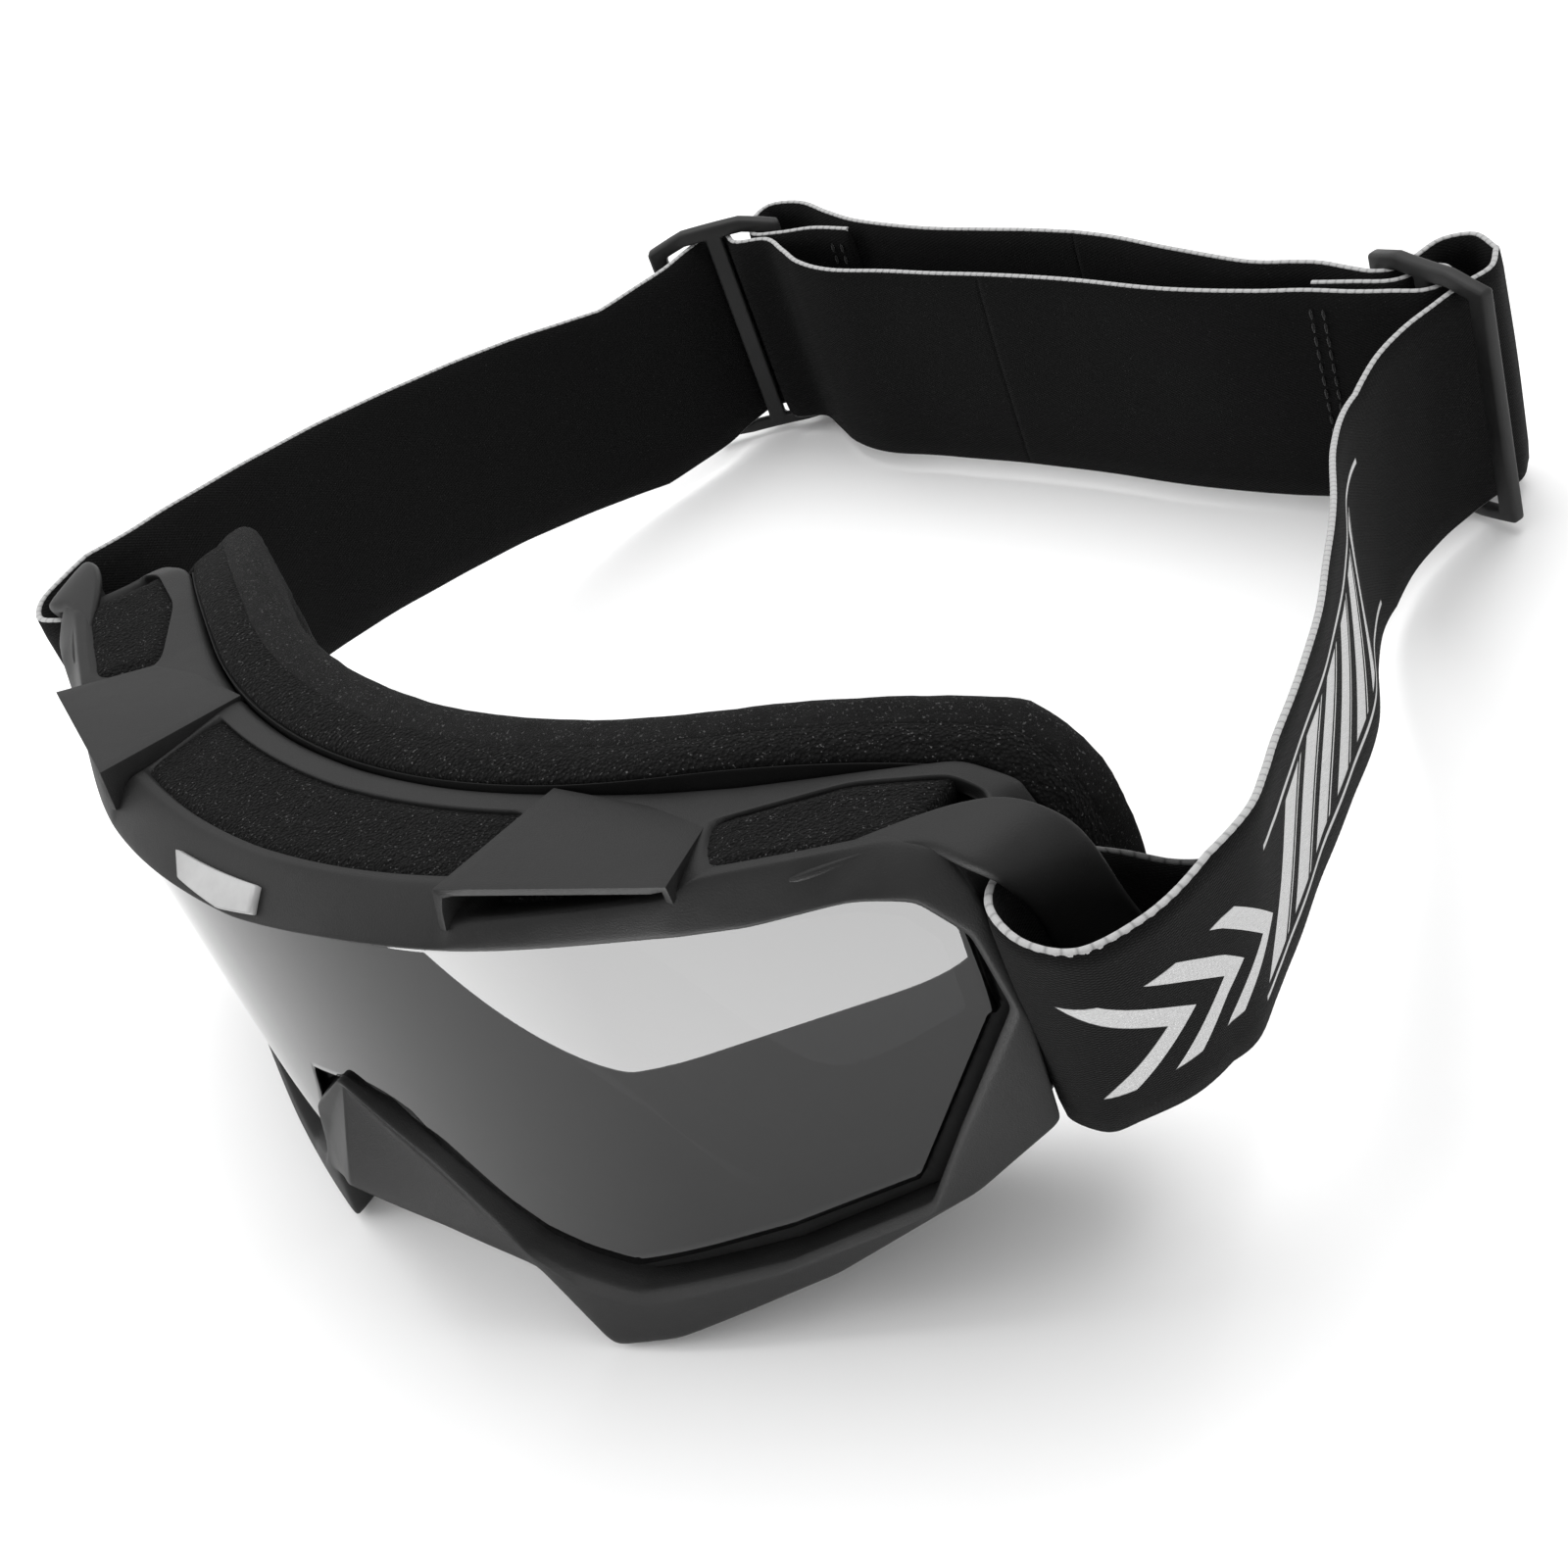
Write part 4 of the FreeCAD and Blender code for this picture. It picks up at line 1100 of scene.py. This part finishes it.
def bind_edge(name, route, edge, material, from_s=0.0, to_s=math.inf):
    """The yarn that binds one long edge between two distances: a tube pinched at each turn."""
    path, across, leans = ribbon_frame(route, BINDING_STEP)
    around = 8
    h = edge * (STRAP_WIDTH - 0.7)
    sections, along_at = [], []
    for i, (p, n, lean) in enumerate(zip(path, across, leans)):
        s = i * BINDING_STEP
        if not from_s <= s <= to_s:
            continue
        plump = abs(math.sin(math.pi * s / SCALLOP))
        centre = np.array(strap_point(p, n, lean, h, 0.0))
        section = []
        for j in range(around):
            angle = 2 * math.pi * j / around
            inwards = math.sin(angle) * edge < 0
            side = (0.46 + 0.02 * plump) * math.cos(angle)
            rise = (0.32 + 0.36 * plump if inwards else 0.28) * math.sin(angle)
            section.append(centre + np.array([n[0] * side, n[1] * side, rise]))
            along_at.append(s)
        sections.append(section)
    points, faces = loft(sections)
    return make(name, points, faces, material, [], None, {"along": along_at})


# the wearer's left strap, from its sewn end round the outrigger's post to the slider's middle bar
ANCHOR_LEFT = [(100.9, 65.6, 2.8, -0.3, 12), (99.2, 61.4, 1.8, 0.2, 12), (96.2, 59.4, 0.8, 0.2, 12),
               (92.2, 57.4, 0.2, -0.4, 10), (89.3, 53, 0, -0.5, 7), (87.6, 47, 0.3, 0, 4),
               (87.7, 41.3, 0.9, -0.6, 1), (90, 37.8, 1.7, -2.4, 0), (95.6, 36.4, 2.4, -4, 0),
               (100.2, 38.4, 4.4, -5, 0), (103.8, 44.4, 4.6, -4.4, 0), (105.5, 51.6, 4.4, -2.8, 0)]
RUN_LEFT = [(105.4, 60, 4, -0.6), (102.9, 68.4, 4, -0.8), (99.9, 76.6, 3.8, -0.8), (93, 95.5, 3.2, 0),
            (85.6, 115, 1.8, 0), (76.8, 135.5, 0.3, 0), (67.2, 152.5), (61.6, 166)]
WEAVE_LEFT = [(58.9, 179), (59, 190), (60.8, 197.5), (62.6, 203.5), (65, 209), (63.5, 214.6)]
WEAVE_LEFT_EXIT = [(63.5, 214.6), (58, 218.2), (53.2, 216), (51.3, 210.5), (50, 206.8), (46.4, 205.2),
                   (42, 205.6), (36, 206.6)]
BACK_LEFT = [(31, 206.4), (22, 205.6), (7, 207.6), (-6, 209.8), (-16, 210.6)]
BACK_LEFT_END = [(-16, 210.6), (-26, 210.5), (-36, 209.6), (-52, 208.6), (-65.5, 209.4)]
END_LOOP_LEFT = [(-75, 211.8), (-84, 214.6), (-91, 213), (-91.4, 207.6), (-87.2, 202.4), (-81.2, 203.4),
                 (-74.5, 206), (-66, 206.6)]

# the wearer's right strap, the same way round
ANCHOR_RIGHT = [(-103.8, 69, 0, 0, 12), (-100.6, 63.4, 0, 0, 12), (-96.6, 59.8, 0, 0, 12),
                (-92.2, 57.4, 0, 0, 10), (-89.3, 53, 0, 0, 7), (-87.9, 47, 0, 0, 4),
                (-88.3, 41.6, 0, 0, 1), (-91.2, 38.4), (-96, 37.8), (-100.2, 41.6), (-101.8, 48),
                (-102.6, 55)]
RUN_RIGHT = [(-104, 63), (-106.8, 74), (-110.4, 92), (-112.4, 112), (-112.2, 135), (-109, 156)]
WEAVE_RIGHT = [(-104.2, 170.5), (-101.6, 179), (-99.6, 187.2), (-99.2, 193.8), (-98.4, 200.2)]
WEAVE_RIGHT_EXIT = [(-98.4, 200.2), (-95.6, 203.2), (-92.6, 201), (-89, 199.2), (-82.5, 200.8),
                    (-76, 197.6), (-69, 194)]
BACK_RIGHT = [(-60, 192.5), (-46, 193.8), (-27, 195)]
BACK_RIGHT_END = [(-27, 195), (-12, 195.7), (14, 195.6), (28, 196.8)]
END_LOOP_RIGHT = [(37.2, 198.2), (45, 199), (52, 200.2), (57.4, 201.2), (59.9, 204.4), (57.9, 208),
                  (54.2, 207.6), (52.6, 204.4), (49.8, 202.6), (44.5, 201.8), (37.4, 200.9)]

# how far from its sewn end the strap is the hidden inner pass of its anchor loop
HIDDEN_LOOP = 31.0
ribbon("strap_left_side", ANCHOR_LEFT + RUN_LEFT + WEAVE_LEFT,
       ["strap_left_anchor_loop", "strap_left_side_run", "strap_left_weave"],
       PRINTED_WEBBING, -1, HIDDEN_LOOP)
ribbon("strap_left_rear", WEAVE_LEFT_EXIT + BACK_LEFT, ["strap_left_back_layer"],
       WEBBING, -1)
ribbon("strap_left_end", BACK_LEFT_END + END_LOOP_LEFT, ["strap_left_end_loop"],
       WEBBING, -1)
ribbon("strap_right_side", ANCHOR_RIGHT + RUN_RIGHT + WEAVE_RIGHT,
       ["strap_right_anchor_loop", "strap_right_side_run", "strap_right_weave"],
       WEBBING, 1, HIDDEN_LOOP)
ribbon("strap_right_rear", WEAVE_RIGHT_EXIT + BACK_RIGHT, ["strap_right_back_layer"],
       WEBBING, 1)
ribbon("strap_right_end", BACK_RIGHT_END + END_LOOP_RIGHT, ["strap_right_end_loop"],
       WEBBING, 1)


# ---------------- sewn seams
STITCH_COLUMNS, COLUMN_GAP = 2, 2.2
STITCH_PITCH, STITCH_LENGTH, STITCH_RADIUS = 2.6, 1.9, 0.28
SEAM_MARGIN = 3.0


def stitches(name, node, place, along, bottom, body, height=STRAP_WIDTH, lean=0.0):
    """Two rows of thread stitches on a strap's face; lean is how far the top one stands out."""
    direction = np.array([*along, 0.0]) / math.hypot(*along)
    count = int((height - 5) / STITCH_PITCH)
    all_points, all_faces, along_at = [], [], []
    for column in range(STITCH_COLUMNS):
        for i in range(count):
            base = np.array([*place, bottom + SEAM_MARGIN + STITCH_PITCH * i])
            base += direction * COLUMN_GAP * column
            base[0] += lean * (2 * i / (count - 1) - 1)
            sections = []
            for k in range(7):
                t = k / 6
                fat = STITCH_RADIUS * max(0.25, math.sin(math.pi * (0.08 + 0.84 * t)))
                centre = base + np.array([0, 0, STITCH_LENGTH * t])
                sections.append([centre + direction * fat * math.cos(a)
                                 + np.cross(direction, (0, 0, 1)) * fat * math.sin(a)
                                 for a in np.linspace(0, 2 * math.pi, 6, endpoint=False)])
                along_at += [t * STITCH_LENGTH] * 6
            points, faces = loft(sections)
            offset = len(all_points)
            all_points += points.tolist()
            all_faces += [[offset + v for v in f] for f in faces]
    make(name, all_points, all_faces, THREAD, [node], body, {"along": along_at})


LOOP_HEIGHT = STRAP_WIDTH - 12.0
stitches("stitches_left_anchor", "strap_left_anchor_stitches", (98.9, 63.2), (0.3, 0.95),
         FRONT_BOTTOM, ROOT, LOOP_HEIGHT, 2.0)
stitches("stitches_right_anchor", "strap_right_anchor_stitches", (-100.9, 65.4), (-0.5, 0.87),
         FRONT_BOTTOM, ROOT, LOOP_HEIGHT)
stitches("stitches_left_end", "strap_left_end_stitches", (-70.2, 205.4), (1, 0.05), BACK_BOTTOM,
         RIGHT)
stitches("stitches_right_end", "strap_right_end_stitches", (38.4, 197.3), (1, 0.1), BACK_BOTTOM,
         LEFT)

# ---------------- sliders
SLIDER_LOW, SLIDER_HIGH = 1.6, 49.2
LOWER_RAIL, UPPER_RAIL = 2.2, 3.0
BAR_HALF, SLIDER_HALF_THICK = 1.7, 1.25
SLIDER_ARCH, RAIL_DROP, SHOULDER = 0.9, 2.2, 0.45


def make_slider(name, node, body, centre, turn, pitch):
    """A flat three-bar slider: two rails joined by three bars, all with rounded edges."""
    half = pitch + BAR_HALF
    xs = [-half, -pitch + BAR_HALF, -BAR_HALF, BAR_HALF, pitch - BAR_HALF, half]
    zs = [SLIDER_LOW, SLIDER_LOW + LOWER_RAIL, SLIDER_HIGH - UPPER_RAIL, SLIDER_HIGH]
    columns = []
    for a, b in zip(xs, xs[1:]):
        parts = 4 if b - a > 5 else 1
        columns += [a + (b - a) * k / parts for k in range(parts)]
    columns.append(xs[-1])
    open_spans = [(xs[1], xs[2]), (xs[3], xs[4])]
    angle = math.radians(turn)
    points, faces = [], []
    for y in (-SLIDER_HALF_THICK, SLIDER_HALF_THICK):
        for x in columns:
            away = max(0.0, (abs(x) / half - SHOULDER) / (1 - SHOULDER))
            for k, z in enumerate(zs):
                v = y + SLIDER_ARCH * (1 - (x / half) ** 2)
                drop = RAIL_DROP * away * (1.0 if k > 1 else -0.35)
                points.append((centre[0] + x * math.cos(angle) - v * math.sin(angle),
                               centre[1] + x * math.sin(angle) + v * math.cos(angle), z - drop))
    rows, cols = len(columns), len(zs)
    layer = rows * cols
    rims = set()
    for i in range(rows - 1):
        middle = (columns[i] + columns[i + 1]) / 2
        for j in range(cols - 1):
            if j == 1 and any(a < middle < b for a, b in open_spans):
                continue
            quad = [i * cols + j, (i + 1) * cols + j, (i + 1) * cols + j + 1, i * cols + j + 1]
            faces.append(quad)
            faces.append([layer + v for v in reversed(quad)])
            rims.update(zip(quad, quad[1:] + quad[:1]))
    for a, b in sorted(rims):
        if (b, a) not in rims:
            faces.append([b, a, layer + a, layer + b])
    piece = make(name, points, faces, SLIDER_PLASTIC, [node], body)
    round_edges(piece, 0.75, 35)


make_slider("slider_left_buckle", "slider_left", LEFT, (56.5, 204.6), 160.0, 11.4)
make_slider("slider_right_buckle", "slider_right", RIGHT, (-94.5, 198.5), 34.0, 12.0)
